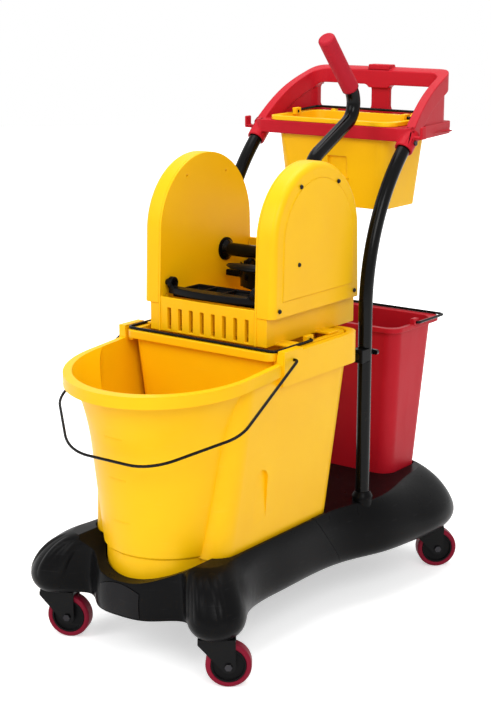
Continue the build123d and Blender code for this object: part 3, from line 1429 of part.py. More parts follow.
# Caddy in the tray and pail at the rear: drafted tubs with a rim, bail lugs and a wire bail
def open_tub(low_box, high_box, floor, rim_box, rim_bottom, rim_top, corner, lug):
    """Tub with a flat rim and two drilled lugs, given as (y, z of the hole, inner x, outer x)."""
    height = rim_top - floor
    rim_half, rim_front, rim_rear = rim_box
    lug_y, lug_z, lug_inner, lug_outer = lug
    with BuildPart() as tub:
        add(rounded_loft(floor, rim_top, low_box, high_box, corner))
        with BuildSketch(Plane.XY.offset(rim_bottom)):
            with Locations((0, (rim_front + rim_rear) / 2)):
                RectangleRounded(2 * rim_half, rim_rear - rim_front, corner)
        extrude(amount=rim_top - rim_bottom)
        inner_low = between(low_box, high_box, pail_wall / height)
        add(rounded_loft(floor + pail_wall, rim_top + pail_wall, inner_low, high_box, corner, -pail_wall),
            mode=Mode.SUBTRACT)
        for side in (-1, 1):
            with Locations((side * (lug_inner + lug_outer) / 2, lug_y, rim_top - pail_wall)):
                Box(lug_outer - lug_inner, 3.5 * bail_wire, pail_wall + 2 * bail_wire,
                    align=(Align.CENTER, Align.CENTER, Align.MIN))
        with Locations((0, lug_y, lug_z)):
            Cylinder(wire_hole, 3 * rim_half, rotation=(0, 90, 0), mode=Mode.SUBTRACT)
    return tub.part


caddy_bail_z = caddy_rim_top + bail_rest
caddy_tub = open_tub(
    (caddy_foot_half, caddy_foot_front, caddy_foot_rear), (caddy_top_half, caddy_top_front, caddy_top_rear),
    caddy_floor, (caddy_rim_half, caddy_rim_front, caddy_rim_rear), caddy_rim_bottom, caddy_rim_top,
    caddy_corner, (caddy_bail_y, caddy_bail_z, caddy_lug_inner, caddy_lug_outer))
caddy_recess_share = (caddy_recess_z - caddy_floor) / (caddy_rim_top - caddy_floor)
caddy_recess_y = between(caddy_foot_front, caddy_top_front, caddy_recess_share) + pail_wall / 2
caddy_rest_lift = caddy_bail_reach * tan(radians(caddy_bail_tilt))
with BuildPart() as caddy:
    add(caddy_tub)
    with Locations((0, caddy_bail_y + caddy_bail_reach, caddy_rim_top)):
        with GridLocations(2 * caddy_rest_x, 1, 2, 1):
            Box(2 * bail_wire, 2 * bail_wire, caddy_rest_lift, align=standing)
    with Locations((caddy_recess_x, caddy_recess_y, caddy_recess_z)):
        Box(caddy_recess_width + 2 * pail_wall, caddy_recess_depth + pail_wall,
            caddy_recess_height + 2 * pail_wall, align=(Align.CENTER, Align.MIN, Align.CENTER))
        Box(caddy_recess_width, 2 * caddy_recess_depth, caddy_recess_height, mode=Mode.SUBTRACT)
keep(caddy.part, "caddy")
keep(swing_bail(caddy_bail_half, caddy_lug_inner, caddy_bail_y, caddy_bail_z, caddy_bail_reach,
                caddy_bail_tilt), "caddy_bail")

pail_bail_z = pail_top + bail_rest
rear_pail = open_tub(
    (pail_foot_half, pail_foot_front, pail_foot_rear), (pail_top_half, pail_top_front, pail_top_rear),
    pail_floor, (pail_rim_half, pail_rim_front, pail_rim_rear), pail_top - pail_rim_height, pail_top,
    pail_corner, (pail_bail_y, pail_bail_z, pail_lug_inner, pail_lug_outer))
keep(rear_pail, "rear_pail")
keep(swing_bail(pail_bail_half, pail_lug_inner, pail_bail_y, pail_bail_z, pail_bail_reach, 0), "pail_bail")
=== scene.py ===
# %% [markdown]
# # Janitorial cart: looks round a CAD frame
# The CAD part is a wheeled base with a wringer bucket in front, a pail behind it and a push
# handle with a tray. This lesson adds what CAD leaves out: finishes, rounded edges, fastener
# heads and small moulded marks. Every piece is in metres, in the CAD part's own frame.

import json
import math

import bmesh
import bpy
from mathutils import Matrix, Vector
from mathutils.bvhtree import BVHTree

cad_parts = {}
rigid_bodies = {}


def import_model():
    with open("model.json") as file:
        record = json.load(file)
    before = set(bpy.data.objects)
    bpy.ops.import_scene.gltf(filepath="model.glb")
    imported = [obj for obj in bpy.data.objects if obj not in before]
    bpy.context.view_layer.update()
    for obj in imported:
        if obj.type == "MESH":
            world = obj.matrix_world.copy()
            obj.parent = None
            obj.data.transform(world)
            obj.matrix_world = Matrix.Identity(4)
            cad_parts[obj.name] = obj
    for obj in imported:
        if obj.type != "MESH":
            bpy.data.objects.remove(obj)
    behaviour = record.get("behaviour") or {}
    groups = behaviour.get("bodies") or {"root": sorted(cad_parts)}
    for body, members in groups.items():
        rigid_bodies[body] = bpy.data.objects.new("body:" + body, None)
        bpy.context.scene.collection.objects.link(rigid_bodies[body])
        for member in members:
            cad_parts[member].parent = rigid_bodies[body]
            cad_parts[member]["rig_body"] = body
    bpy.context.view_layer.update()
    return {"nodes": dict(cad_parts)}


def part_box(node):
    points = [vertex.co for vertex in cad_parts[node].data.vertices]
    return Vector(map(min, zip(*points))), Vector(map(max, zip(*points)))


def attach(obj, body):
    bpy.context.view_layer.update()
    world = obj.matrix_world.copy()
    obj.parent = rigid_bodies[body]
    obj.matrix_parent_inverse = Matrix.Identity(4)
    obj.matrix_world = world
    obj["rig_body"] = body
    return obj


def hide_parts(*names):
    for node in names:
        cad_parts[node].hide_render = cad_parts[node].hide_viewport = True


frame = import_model()
nodes = frame["nodes"]

# %% [markdown]
# ## Finishes
# A finish is a Principled shader that is fed by shared node groups. A colour is given as it
# looks on a screen, so it is made linear first. The groups give only masks and heights: a fine
# moulded grain, a slow mottle as in dyed plastic, and flow lines that run one way. They read
# Object coordinates, so that a piece keeps its pattern when it moves. A picture of plastic
# could be wrapped round each piece instead, but it would need its own map for every shape.

# %% Colour and node helpers
def shown(red, green, blue):
    """Linear colour of a colour given as 0 to 255 on a screen."""
    steps = (red / 255, green / 255, blue / 255)
    linear = [c / 12.92 if c <= 0.04045 else ((c + 0.055) / 1.055) ** 2.4 for c in steps]
    return (*linear, 1.0)


def new_group(name, inputs, outputs):
    """Empty shader node group with named float inputs and outputs."""
    group = bpy.data.node_groups.new(name, "ShaderNodeTree")
    for label, value in inputs:
        socket = group.interface.new_socket(label, in_out="INPUT", socket_type="NodeSocketFloat")
        socket.default_value = value
    for label in outputs:
        group.interface.new_socket(label, in_out="OUTPUT", socket_type="NodeSocketFloat")
    return group, group.nodes.new("NodeGroupInput"), group.nodes.new("NodeGroupOutput")


def noise_node(group, vector, detail, roughness):
    """Noise texture that is read at a vector, at a scale of 1."""
    noise = group.nodes.new("ShaderNodeTexNoise")
    noise.inputs["Scale"].default_value = 1.0
    noise.inputs["Detail"].default_value = detail
    noise.inputs["Roughness"].default_value = roughness
    group.links.new(vector, noise.inputs["Vector"])
    return noise


def set_or_link(tree, socket, value):
    """Give an input socket a number, or the output socket that feeds it."""
    if isinstance(value, (int, float)):
        socket.default_value = value
    else:
        tree.links.new(value, socket)


def math_node(tree, operation, first, second):
    """Result of a Math node on two sockets or numbers."""
    node = tree.nodes.new("ShaderNodeMath")
    node.operation = operation
    for socket, value in zip(node.inputs, (first, second)):
        set_or_link(tree, socket, value)
    return node.outputs["Value"]


def ramp_node(tree, value, start, stop, low=0.0, high=1.0):
    """Result of a Map Range node from start and stop to low and high, each a socket or a number."""
    node = tree.nodes.new("ShaderNodeMapRange")
    ends = {"Value": value, "From Min": start, "From Max": stop, "To Min": low, "To Max": high}
    for label, end in ends.items():
        set_or_link(tree, node.inputs[label], end)
    return node.outputs["Result"]


# %% Moulded surface group
flow_scale = (60.0, 60.0, 9.0)
surface, surface_in, surface_out = new_group(
    "moulded surface", [("Grain scale", 900.0), ("Mottle scale", 7.0)], ["Grain", "Mottle", "Flow"])
surface_place = surface.nodes.new("ShaderNodeTexCoord")
grain = noise_node(surface, surface_place.outputs["Object"], detail=2.0, roughness=0.6)
mottle = noise_node(surface, surface_place.outputs["Object"], detail=3.0, roughness=0.55)
stretch = surface.nodes.new("ShaderNodeMapping")
stretch.inputs["Scale"].default_value = flow_scale
surface.links.new(surface_place.outputs["Object"], stretch.inputs["Vector"])
flow = noise_node(surface, stretch.outputs["Vector"], detail=4.0, roughness=0.65)
surface.links.new(surface_in.outputs["Grain scale"], grain.inputs["Scale"])
surface.links.new(surface_in.outputs["Mottle scale"], mottle.inputs["Scale"])
surface.links.new(grain.outputs["Fac"], surface_out.inputs["Grain"])
surface.links.new(mottle.outputs["Fac"], surface_out.inputs["Mottle"])
surface.links.new(flow.outputs["Fac"], surface_out.inputs["Flow"])
print("group:", surface.name)

# %% [markdown]
# Handling leaves short, fine rubs on a moulding, mostly low down where it is knocked. One group
# makes them for every finish: a stretched noise gives the rubs, and a height ramp fades them out.

# %% Rub marks group
rub_turn, rub_scale = (0.3, 0.5, 0.2), (22.0, 30.0, 260.0)
rub_start, rub_full, rub_left_on_top = 0.63, 0.78, 0.25
rubs, rubs_in, rubs_out = new_group("rub marks", [("Amount", 0.15), ("Top height", 0.6)], ["Rub"])
rub_place = rubs.nodes.new("ShaderNodeTexCoord")
rub_stretch = rubs.nodes.new("ShaderNodeMapping")
rub_stretch.inputs["Rotation"].default_value = rub_turn
rub_stretch.inputs["Scale"].default_value = rub_scale
rubs.links.new(rub_place.outputs["Object"], rub_stretch.inputs["Vector"])
rub_noise = noise_node(rubs, rub_stretch.outputs["Vector"], detail=3.0, roughness=0.5)
rub_cut = ramp_node(rubs, rub_noise.outputs["Fac"], rub_start, rub_full)
rub_split = rubs.nodes.new("ShaderNodeSeparateXYZ")
rubs.links.new(rub_place.outputs["Object"], rub_split.inputs["Vector"])
rub_fade = ramp_node(rubs, rub_split.outputs["Z"], 0.0, rubs_in.outputs["Top height"],
                     low=1.0, high=rub_left_on_top)
rub_mask = math_node(rubs, "MULTIPLY", rub_cut, rub_fade)
rub_level = math_node(rubs, "MULTIPLY", rub_mask, rubs_in.outputs["Amount"])
rubs.links.new(rub_level, rubs_out.inputs["Rub"])
print("group:", rubs.name)


# %% Finish maker
mottle_range, flow_range, gloss_spread = (0.3, 0.7), (0.25, 0.75), 0.12


def finish(name, light, deep, rough, grain_scale=900.0, grain_depth=0.00004, metal=0.0,
           sheen=0.2, worn=(120, 118, 116), rub=0.12):
    """Principled material between two shades, with grain, uneven gloss and a few rubs."""
    material = bpy.data.materials.new(name)
    material.use_nodes = True
    tree = material.node_tree
    shader = tree.nodes["Principled BSDF"]
    shader.inputs["Metallic"].default_value = metal
    shader.inputs["Specular IOR Level"].default_value = sheen
    pattern = tree.nodes.new("ShaderNodeGroup")
    pattern.node_tree = surface
    pattern.inputs["Grain scale"].default_value = grain_scale
    marks = tree.nodes.new("ShaderNodeGroup")
    marks.node_tree = rubs
    marks.inputs["Amount"].default_value = rub
    shade = tree.nodes.new("ShaderNodeMix")
    shade.data_type = "RGBA"
    shade.inputs["A"].default_value = shown(*deep)
    shade.inputs["B"].default_value = shown(*light)
    contrast = ramp_node(tree, pattern.outputs["Mottle"], *mottle_range)
    tree.links.new(contrast, shade.inputs["Factor"])
    rubbed = tree.nodes.new("ShaderNodeMix")
    rubbed.data_type = "RGBA"
    rubbed.inputs["B"].default_value = shown(*worn)
    tree.links.new(marks.outputs["Rub"], rubbed.inputs["Factor"])
    tree.links.new(shade.outputs["Result"], rubbed.inputs["A"])
    tree.links.new(rubbed.outputs["Result"], shader.inputs["Base Color"])
    gloss = ramp_node(tree, pattern.outputs["Flow"], *flow_range,
                      low=rough * (1 - gloss_spread), high=rough * (1 + gloss_spread))
    tree.links.new(gloss, shader.inputs["Roughness"])
    bump = tree.nodes.new("ShaderNodeBump")
    bump.inputs["Strength"].default_value = 1.0
    bump.inputs["Distance"].default_value = grain_depth
    tree.links.new(pattern.outputs["Grain"], bump.inputs["Height"])
    tree.links.new(bump.outputs["Normal"], shader.inputs["Normal"])
    return material


# %% Finishes of the cart
yellow = {"worn": (255, 226, 110), "rub": 0.1}
red = {"worn": (222, 96, 104), "rub": 0.1, "sheen": 0.12}
black = {"worn": (86, 84, 86), "rub": 0.1}
finishes = {
    "yellow_plastic": finish("yellow plastic", (252, 196, 6), (248, 188, 3), 0.4, **yellow),
    "red_plastic": finish("red plastic", (192, 27, 42), (182, 22, 37), 0.42,
                          grain_scale=700.0, grain_depth=0.00008, **red),
    "red_grip": finish("red grip", (186, 34, 50), (176, 28, 44), 0.6,
                       grain_scale=500.0, grain_depth=0.00012, **red),
    "black_plastic": finish("black plastic", (15, 15, 16), (11, 11, 12), 0.3, sheen=0.055,
                            grain_scale=650.0, grain_depth=0.00006, **black),
    "panel_plastic": finish("panel plastic", (19, 18, 20), (15, 14, 16), 0.25, sheen=0.1, **black),
    "black_tube": finish("black tube", (8, 8, 8), (6, 6, 6), 0.18, sheen=0.12, **black),
    "black_wire": finish("black wire", (9, 9, 9), (7, 7, 7), 0.25, sheen=0.12, **black),
    "fork_metal": finish("fork metal", (14, 14, 15), (10, 10, 11), 0.34, sheen=0.1, **black),
    "hub_plastic": finish("hub plastic", (15, 14, 15), (11, 11, 12), 0.42, sheen=0.08, **black),
    "red_tyre": finish("red tyre", (134, 18, 44), (118, 13, 37), 0.45, sheen=0.12,
                       worn=(150, 70, 84), rub=0.2),
    "dark_steel": finish("dark steel", (22, 21, 21), (16, 15, 15), 0.3, sheen=0.15, **black),
    "steel": finish("dark zinc", (58, 57, 60), (44, 43, 46), 0.36, metal=1.0, rub=0.05),
}
slot_of = {}
for name, node in nodes.items():
    slots = [m.name.split(".")[0] for m in node.data.materials if m]
    slot_of[name] = slots[0] if slots else "steel"
    node.data.materials.clear()
    node.data.materials.append(finishes[slot_of[name]])
print("finished nodes:", len(slot_of), "in", len(set(slot_of.values())), "finishes")

# %% [markdown]
# ## Rounded mouldings
# Plastic leaves its mould with rounded edges, and those edges catch most of the light. The CAD
# solids have sharp ones. Rounding could be faked in the shader, but then the outline stays sharp,
# so each moulding is drawn as a copy of its CAD mesh: merged, and each edge that turns more than
# a set angle given a narrow bevel of several strips. Weighted normals keep the flat faces flat.
# A bevel can throw a point out where short edges meet, so a stray point goes back to the surface.
# The bucket and the base's rear half keep their CAD mesh, because a bevel leaves slivers on them.

# %% Rounding helper
def add_piece(name, mesh, body, slot):
    """Link a finished mesh as a piece that rides on a body."""
    piece = bpy.data.objects.new(name, mesh)
    bpy.context.collection.objects.link(piece)
    mesh.materials.clear()
    mesh.materials.append(finishes[slot])
    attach(piece, body)
    return piece


def surface_finder(name):
    """Search tree over the mesh of a CAD node."""
    mesh = nodes[name].data
    points = [vertex.co.copy() for vertex in mesh.vertices]
    return BVHTree.FromPolygons(points, [list(face.vertices) for face in mesh.polygons])


def plain_mesh(piece, name):
    """Result of a piece's modifiers as a plain mesh; the scratch piece is removed."""
    ready = piece.evaluated_get(bpy.context.evaluated_depsgraph_get())
    mesh = bpy.data.meshes.new_from_object(ready)
    mesh.name = name
    bpy.data.objects.remove(piece)
    return mesh


merge_distance, sharp_turn, bevel_strips = 1e-6, 35.0, 3


def soften(name, width):
    """Copy of a CAD node with rounded edges, riding on the node's body in its place."""
    mesh = bpy.data.meshes.new(name + "_sharp")
    shape = bmesh.new()
    shape.from_mesh(nodes[name].data)
    bmesh.ops.remove_doubles(shape, verts=shape.verts, dist=merge_distance)
    shape.to_mesh(mesh)
    shape.free()
    mesh.shade_smooth()
    scratch = bpy.data.objects.new(name + "_sharp", mesh)
    bpy.context.collection.objects.link(scratch)
    bevel = scratch.modifiers.new("edges", "BEVEL")
    bevel.limit_method = "ANGLE"
    bevel.angle_limit = math.radians(sharp_turn)
    bevel.width = width
    bevel.segments = bevel_strips
    bevel.use_clamp_overlap = False
    bevel.loop_slide = False
    bevel.miter_outer = "MITER_ARC"
    normals = scratch.modifiers.new("flat faces stay flat", "WEIGHTED_NORMAL")
    normals.weight = 100
    rounded = plain_mesh(scratch, name + "_rounded")
    finder, strays = surface_finder(name), 0
    for vertex in rounded.vertices:
        nearest, normal, face, distance = finder.find_nearest(vertex.co)
        if distance > width:
            vertex.co = nearest
            strays += 1
    piece = add_piece(name + "_rounded", rounded, nodes[name]["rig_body"], slot_of[name])
    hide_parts(name)
    print(name, len(rounded.polygons), "faces,", strays, "strays drawn back")


# %% Rounded mouldings
rounding = {
    "cheek_cover_right": 0.0014, "cheek_cover_left": 0.0014, "wringer_body": 0.0012,
    "insert_pan": 0.001, "caddy": 0.0012, "rear_pail": 0.0012, "handle_tray": 0.002,
    "front_press_plate": 0.002, "rear_press_plate": 0.002, "base_front": 0.0012,
    "bucket_catch_left": 0.0015, "bucket_catch_right": 0.0015, "lever_grip": 0.003,
}
for corner in ("front_right", "front_left", "rear_right", "rear_left"):
    rounding["wheel_tyre_" + corner] = 0.0025
    rounding["wheel_hub_" + corner] = 0.0008
for name, width in rounding.items():
    soften(name, width)

# %% [markdown]
# ## Repeats made with Geometry Nodes
# Screws and moulded marks repeat one small shape at given places. Copying a mesh by hand would
# do it, but a node tree keeps the shape's sizes as named inputs. Each tree takes a mesh of loose
# points. Two attributes on a point, aim and along, say which way the shape faces and how it is
# turned. The tree ends in real geometry, because instances would be lost in an export.

# %% Geometry node helpers
def shape_tree(name, inputs, on_surface=False):
    """Geometry node tree with a mesh in, a mesh out, named sizes and a material."""
    tree = bpy.data.node_groups.new(name, "GeometryNodeTree")
    tree.interface.new_socket("Geometry", in_out="INPUT", socket_type="NodeSocketGeometry")
    for label, value in inputs:
        socket = tree.interface.new_socket(label, in_out="INPUT", socket_type="NodeSocketFloat")
        socket.default_value = value
    if on_surface:
        tree.interface.new_socket("Surface", in_out="INPUT", socket_type="NodeSocketObject")
    tree.interface.new_socket("Material", in_out="INPUT", socket_type="NodeSocketMaterial")
    tree.interface.new_socket("Geometry", in_out="OUTPUT", socket_type="NodeSocketGeometry")
    return tree, tree.nodes.new("NodeGroupInput"), tree.nodes.new("NodeGroupOutput")


def place_and_end(tree, start, end, shape):
    """Put a shape on the tree's points, turned by their attributes, and end in real geometry."""
    turn = None
    for axis, pivot, label in (("Z", "AUTO", "aim"), ("X", "Z", "along")):
        read = tree.nodes.new("GeometryNodeInputNamedAttribute")
        read.data_type = "FLOAT_VECTOR"
        read.inputs["Name"].default_value = label
        align = tree.nodes.new("FunctionNodeAlignRotationToVector")
        align.axis = axis
        align.pivot_axis = pivot
        tree.links.new(read.outputs["Attribute"], align.inputs["Vector"])
        if turn:
            tree.links.new(turn.outputs["Rotation"], align.inputs["Rotation"])
        turn = align
    copies = tree.nodes.new("GeometryNodeInstanceOnPoints")
    tree.links.new(start.outputs["Geometry"], copies.inputs["Points"])
    tree.links.new(shape, copies.inputs["Instance"])
    tree.links.new(turn.outputs["Rotation"], copies.inputs["Rotation"])
    real = tree.nodes.new("GeometryNodeRealizeInstances")
    tree.links.new(copies.outputs["Instances"], real.inputs["Geometry"])
    end_with_material(tree, start, end, real.outputs["Geometry"])


def end_with_material(tree, start, end, geometry):
    """Give the geometry the tree's material and put it out."""
    paint = tree.nodes.new("GeometryNodeSetMaterial")
    tree.links.new(geometry, paint.inputs["Geometry"])
    tree.links.new(start.outputs["Material"], paint.inputs["Material"])
    tree.links.new(paint.outputs["Geometry"], end.inputs["Geometry"])


def vector_node(tree, x, y, z):
    """Vector of three sockets or numbers."""
    node = tree.nodes.new("ShaderNodeCombineXYZ")
    for socket, value in zip(node.inputs, (x, y, z)):
        set_or_link(tree, socket, value)
    return node.outputs["Vector"]


def spots_mesh(name, spots):
    """Loose points with their aim and along directions."""
    mesh = bpy.data.meshes.new(name)
    mesh.from_pydata([spot[0] for spot in spots], [], [])
    for label, column in (("aim", 1), ("along", 2)):
        values = mesh.attributes.new(label, "FLOAT_VECTOR", "POINT")
        for index, spot in enumerate(spots):
            values.data[index].vector = spot[column]
    return mesh


def grow_piece(name, mesh, tree, sizes, body, slot, wall=0.0):
    """Run a node tree on a mesh and keep the result as a plain piece on a body.

    A tree that makes an open strip gets a wall, so that the piece is closed."""
    scratch = bpy.data.objects.new(name + "_points", mesh)
    bpy.context.collection.objects.link(scratch)
    recipe = scratch.modifiers.new(tree.name, "NODES")
    recipe.node_group = tree
    sizes = {**sizes, "Material": finishes[slot]}
    for item in tree.interface.items_tree:
        if item.in_out == "INPUT" and item.name in sizes:
            recipe[item.identifier] = sizes[item.name]
    if wall:
        shell = scratch.modifiers.new("thickness", "SOLIDIFY")
        shell.thickness = wall
        shell.offset = -1.0
    piece = add_piece(name, plain_mesh(scratch, name), body, slot)
    print(name, len(piece.data.polygons), "faces")
    return piece


# %% [markdown]
# ## Screws in the cheek covers
# The covers are held by dark pan-head screws with a cross recess. In CAD they are plain discs.
# A cone with a wide top makes the head, and two crossed bars are cut out of it.

# %% Screw tree
screw, screw_in, screw_out = shape_tree("cross recess screw", [
    ("Head radius", 0.004), ("Head height", 0.0022),
    ("Slot length", 0.0046), ("Slot width", 0.0011)])
head_sides, head_taper = 28, 0.72
head = screw.nodes.new("GeometryNodeMeshCone")
head.inputs["Vertices"].default_value = head_sides
screw.links.new(screw_in.outputs["Head radius"], head.inputs["Radius Bottom"])
head_top = math_node(screw, "MULTIPLY", screw_in.outputs["Head radius"], head_taper)
screw.links.new(head_top, head.inputs["Radius Top"])
screw.links.new(screw_in.outputs["Head height"], head.inputs["Depth"])
cross = screw.nodes.new("GeometryNodeMeshBoolean")
cross.operation = "DIFFERENCE"
screw.links.new(head.outputs["Mesh"], cross.inputs["Mesh 1"])
for swap in (False, True):
    bar = screw.nodes.new("GeometryNodeMeshCube")
    sides = [screw_in.outputs["Slot length"], screw_in.outputs["Slot width"]]
    if swap:
        sides.reverse()
    height = screw_in.outputs["Head height"]
    screw.links.new(vector_node(screw, *sides, height), bar.inputs["Size"])
    raised = screw.nodes.new("GeometryNodeTransform")
    screw.links.new(bar.outputs["Mesh"], raised.inputs["Geometry"])
    screw.links.new(vector_node(screw, 0.0, 0.0, height), raised.inputs["Translation"])
    screw.links.new(raised.outputs["Geometry"], cross.inputs["Mesh 2"])
place_and_end(screw, screw_in, screw_out, cross.outputs["Mesh"])

# %% Cheek screws
cheek_spots = ((-0.063, 0.781), (0.049, 0.779), (-0.124, 0.579), (0.104, 0.579), (-0.068, 0.650))
first_turn, turn_step = 25, 37
cover_faces = {1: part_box("cheek_cover_right")[1][0], -1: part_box("cheek_cover_left")[0][0]}
cheek_screw_spots = []
for side, face in cover_faces.items():
    for count, (y, z) in enumerate(cheek_spots):
        turn = math.radians(first_turn + turn_step * count)
        along = (0, math.cos(turn), math.sin(turn))
        cheek_screw_spots.append(((face, y, z), (side, 0, 0), along))
cheek_heads = grow_piece("cheek_screw_heads", spots_mesh("cheek screw spots", cheek_screw_spots),
                         screw, {}, "wringer", "dark_steel")
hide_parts("cheek_screws")

# %% [markdown]
# ## Level marks on the drum
# Three short raised bars on the drum's front show how full the bucket is. They follow the drum,
# so each bar is a row of narrow tiles: a ray towards the drum's axis finds the place and the
# way that the wall faces, and one tile is set there.

# %% Mark tree
mark, mark_in, mark_out = shape_tree("raised tile", [
    ("Tile width", 0.0046), ("Tile height", 0.0024), ("Tile proud", 0.0006)])
tile = mark.nodes.new("GeometryNodeMeshCube")
tile_depth = math_node(mark, "MULTIPLY", mark_in.outputs["Tile proud"], 2.0)
mark.links.new(vector_node(mark, mark_in.outputs["Tile width"], mark_in.outputs["Tile height"],
                           tile_depth), tile.inputs["Size"])
place_and_end(mark, mark_in, mark_out, tile.outputs["Mesh"])

# %% Drum marks
drum_finder = surface_finder("mop_bucket")
drum_axis_y, ray_start = -0.247, 0.4
mark_heights, mark_turn, tile_step, tiles_each_way = (0.246, 0.322, 0.394), -3.0, 1.8, 4
drum_marks = []
for height in mark_heights:
    for step in range(-tiles_each_way, tiles_each_way + 1):
        turn = math.radians(mark_turn + tile_step * step)
        outward = Vector((math.sin(turn), -math.cos(turn), 0.0))
        start = Vector((0.0, drum_axis_y, height)) + ray_start * outward
        hit, normal, face, distance = drum_finder.ray_cast(start, -outward)
        drum_marks.append((hit, normal, Vector((math.cos(turn), math.sin(turn), 0.0))))
grow_piece("drum_level_marks", spots_mesh("drum mark spots", drum_marks), mark, {},
           "bucket", "yellow_plastic")

# %% [markdown]
# ## Dome of the rear press plate
# The rear press plate is shaped like a ladle: behind its bowed front it is closed by a low dome.
# CAD keeps the bowed plate and its ribs. The dome is a net of points between the bow and its
# chord, lifted most in the middle, and a Solidify modifier gives the net its thickness.

# %% Ladle dome
bow_half, bow_nose, bow_back = 0.0635, -0.0325, -0.001
dome_foot, dome_rise, dome_wall = 0.6172, 0.010, 0.003
columns, rows, edge_share = 40, 14, 0.995
bow_sag = bow_back - bow_nose
bow_radius = (bow_half**2 + bow_sag**2) / (2 * bow_sag)
points, faces = [], []
for column in range(columns + 1):
    across = math.sin(math.pi * (column / columns - 0.5)) * edge_share
    x = bow_half * across
    front = bow_nose + bow_radius - math.sqrt(bow_radius**2 - x**2)
    for row in range(rows + 1):
        share = (1 - math.cos(math.pi * row / rows)) / 2
        lift = dome_rise * math.sqrt(1 - across**2) * (4 * share * (1 - share)) ** 0.5
        points.append((x, front + (bow_back - front) * share, dome_foot + lift))
for column in range(columns):
    for row in range(rows):
        corner = column * (rows + 1) + row
        faces.append((corner, corner + rows + 1, corner + rows + 2, corner + 1))
dome_mesh = bpy.data.meshes.new("ladle net")
dome_mesh.from_pydata(points, [], faces)
dome_mesh.shade_smooth()
dome_net = bpy.data.objects.new("ladle net", dome_mesh)
bpy.context.collection.objects.link(dome_net)
shell = dome_net.modifiers.new("thickness", "SOLIDIFY")
shell.thickness = dome_wall
shell.offset = -1.0
add_piece("rear_plate_dome", plain_mesh(dome_net, "rear_plate_dome"), "rear_jaw",
          slot_of["rear_press_plate"])
print("rear_plate_dome from a net of", len(faces), "faces")

# %% [markdown]
# ## Soft folds on the feet of the base
# Three soft folds run down each front foot of the base and catch the light. They follow the
# dome, so they are swept: a tree draws a strip along a line of points, lays every point of the
# strip on the base, and lifts its middle. The strip's edges are sunk a little, so a fold fades
# into the base. Sculpting would do it too, but a fold could not be moved or widened afterwards.

# %% Fold tree
fold, fold_in, fold_out = shape_tree("soft fold", [
    ("Half width", 0.012), ("Height", 0.003), ("Sunk edge", 0.0004)], on_surface=True)
points_along, points_across, bulge_power, taper_power = 40, 15, 2.0, 0.8


def kept_factor(tree, curve, count):
    """Curve in even points, and each point's share of the way along it."""
    even = tree.nodes.new("GeometryNodeResampleCurve")
    even.inputs["Count"].default_value = count
    tree.links.new(curve, even.inputs["Curve"])
    share = tree.nodes.new("GeometryNodeSplineParameter")
    keep = tree.nodes.new("GeometryNodeCaptureAttribute")
    keep.capture_items.new("FLOAT", "Share")
    tree.links.new(even.outputs["Curve"], keep.inputs["Geometry"])
    tree.links.new(share.outputs["Factor"], keep.inputs["Share"])
    return keep.outputs["Geometry"], keep.outputs["Share"]


def hump(tree, share):
    """Zero at both ends of a share, one in the middle."""
    rest = math_node(tree, "SUBTRACT", 1.0, share)
    return math_node(tree, "MULTIPLY", math_node(tree, "MULTIPLY", share, rest), 4.0)


way = fold.nodes.new("GeometryNodeMeshToCurve")
fold.links.new(fold_in.outputs["Geometry"], way.inputs["Mesh"])
facing = fold.nodes.new("GeometryNodeInputNamedAttribute")
facing.data_type = "FLOAT_VECTOR"
facing.inputs["Name"].default_value = "aim"
upright = fold.nodes.new("GeometryNodeSetCurveNormal")
upright.mode = "FREE"
fold.links.new(way.outputs["Curve"], upright.inputs["Curve"])
fold.links.new(facing.outputs["Attribute"], upright.inputs["Normal"])
line_path, along = kept_factor(fold, upright.outputs["Curve"], points_along)
strip = fold.nodes.new("GeometryNodeCurvePrimitiveLine")
half_width = fold_in.outputs["Half width"]
other_half = math_node(fold, "MULTIPLY", half_width, -1.0)
fold.links.new(vector_node(fold, 0.0, other_half, 0.0), strip.inputs["Start"])
fold.links.new(vector_node(fold, 0.0, half_width, 0.0), strip.inputs["End"])
strip_path, across = kept_factor(fold, strip.outputs["Curve"], points_across)
sweep = fold.nodes.new("GeometryNodeCurveToMesh")
fold.links.new(line_path, sweep.inputs["Curve"])
fold.links.new(strip_path, sweep.inputs["Profile Curve"])

# %% Laying the strip on the base
skin = fold.nodes.new("GeometryNodeObjectInfo")
skin.transform_space = "RELATIVE"
fold.links.new(fold_in.outputs["Surface"], skin.inputs["Object"])
nearest = fold.nodes.new("GeometryNodeProximity")
nearest.target_element = "FACES"
fold.links.new(skin.outputs["Geometry"], nearest.inputs["Geometry"])
skin_normal = fold.nodes.new("GeometryNodeSampleNearestSurface")
skin_normal.data_type = "FLOAT_VECTOR"
fold.links.new(skin.outputs["Geometry"], skin_normal.inputs["Mesh"])
face_normal = fold.nodes.new("GeometryNodeInputNormal")
fold.links.new(face_normal.outputs["Normal"], skin_normal.inputs["Value"])
bulge = math_node(fold, "POWER", hump(fold, across), bulge_power)
taper = math_node(fold, "POWER", hump(fold, along), taper_power)
fold_share = math_node(fold, "MULTIPLY", bulge, taper)
fold_lift = math_node(fold, "MULTIPLY", fold_share, fold_in.outputs["Height"])
rise = fold.nodes.new("ShaderNodeVectorMath")
rise.operation = "SCALE"
fold.links.new(skin_normal.outputs["Value"], rise.inputs["Vector"])
above_skin = math_node(fold, "SUBTRACT", fold_lift, fold_in.outputs["Sunk edge"])
fold.links.new(above_skin, rise.inputs["Scale"])
laid_spot = fold.nodes.new("ShaderNodeVectorMath")
fold.links.new(nearest.outputs["Position"], laid_spot.inputs[0])
fold.links.new(rise.outputs["Vector"], laid_spot.inputs[1])
laid = fold.nodes.new("GeometryNodeSetPosition")
fold.links.new(sweep.outputs["Mesh"], laid.inputs["Geometry"])
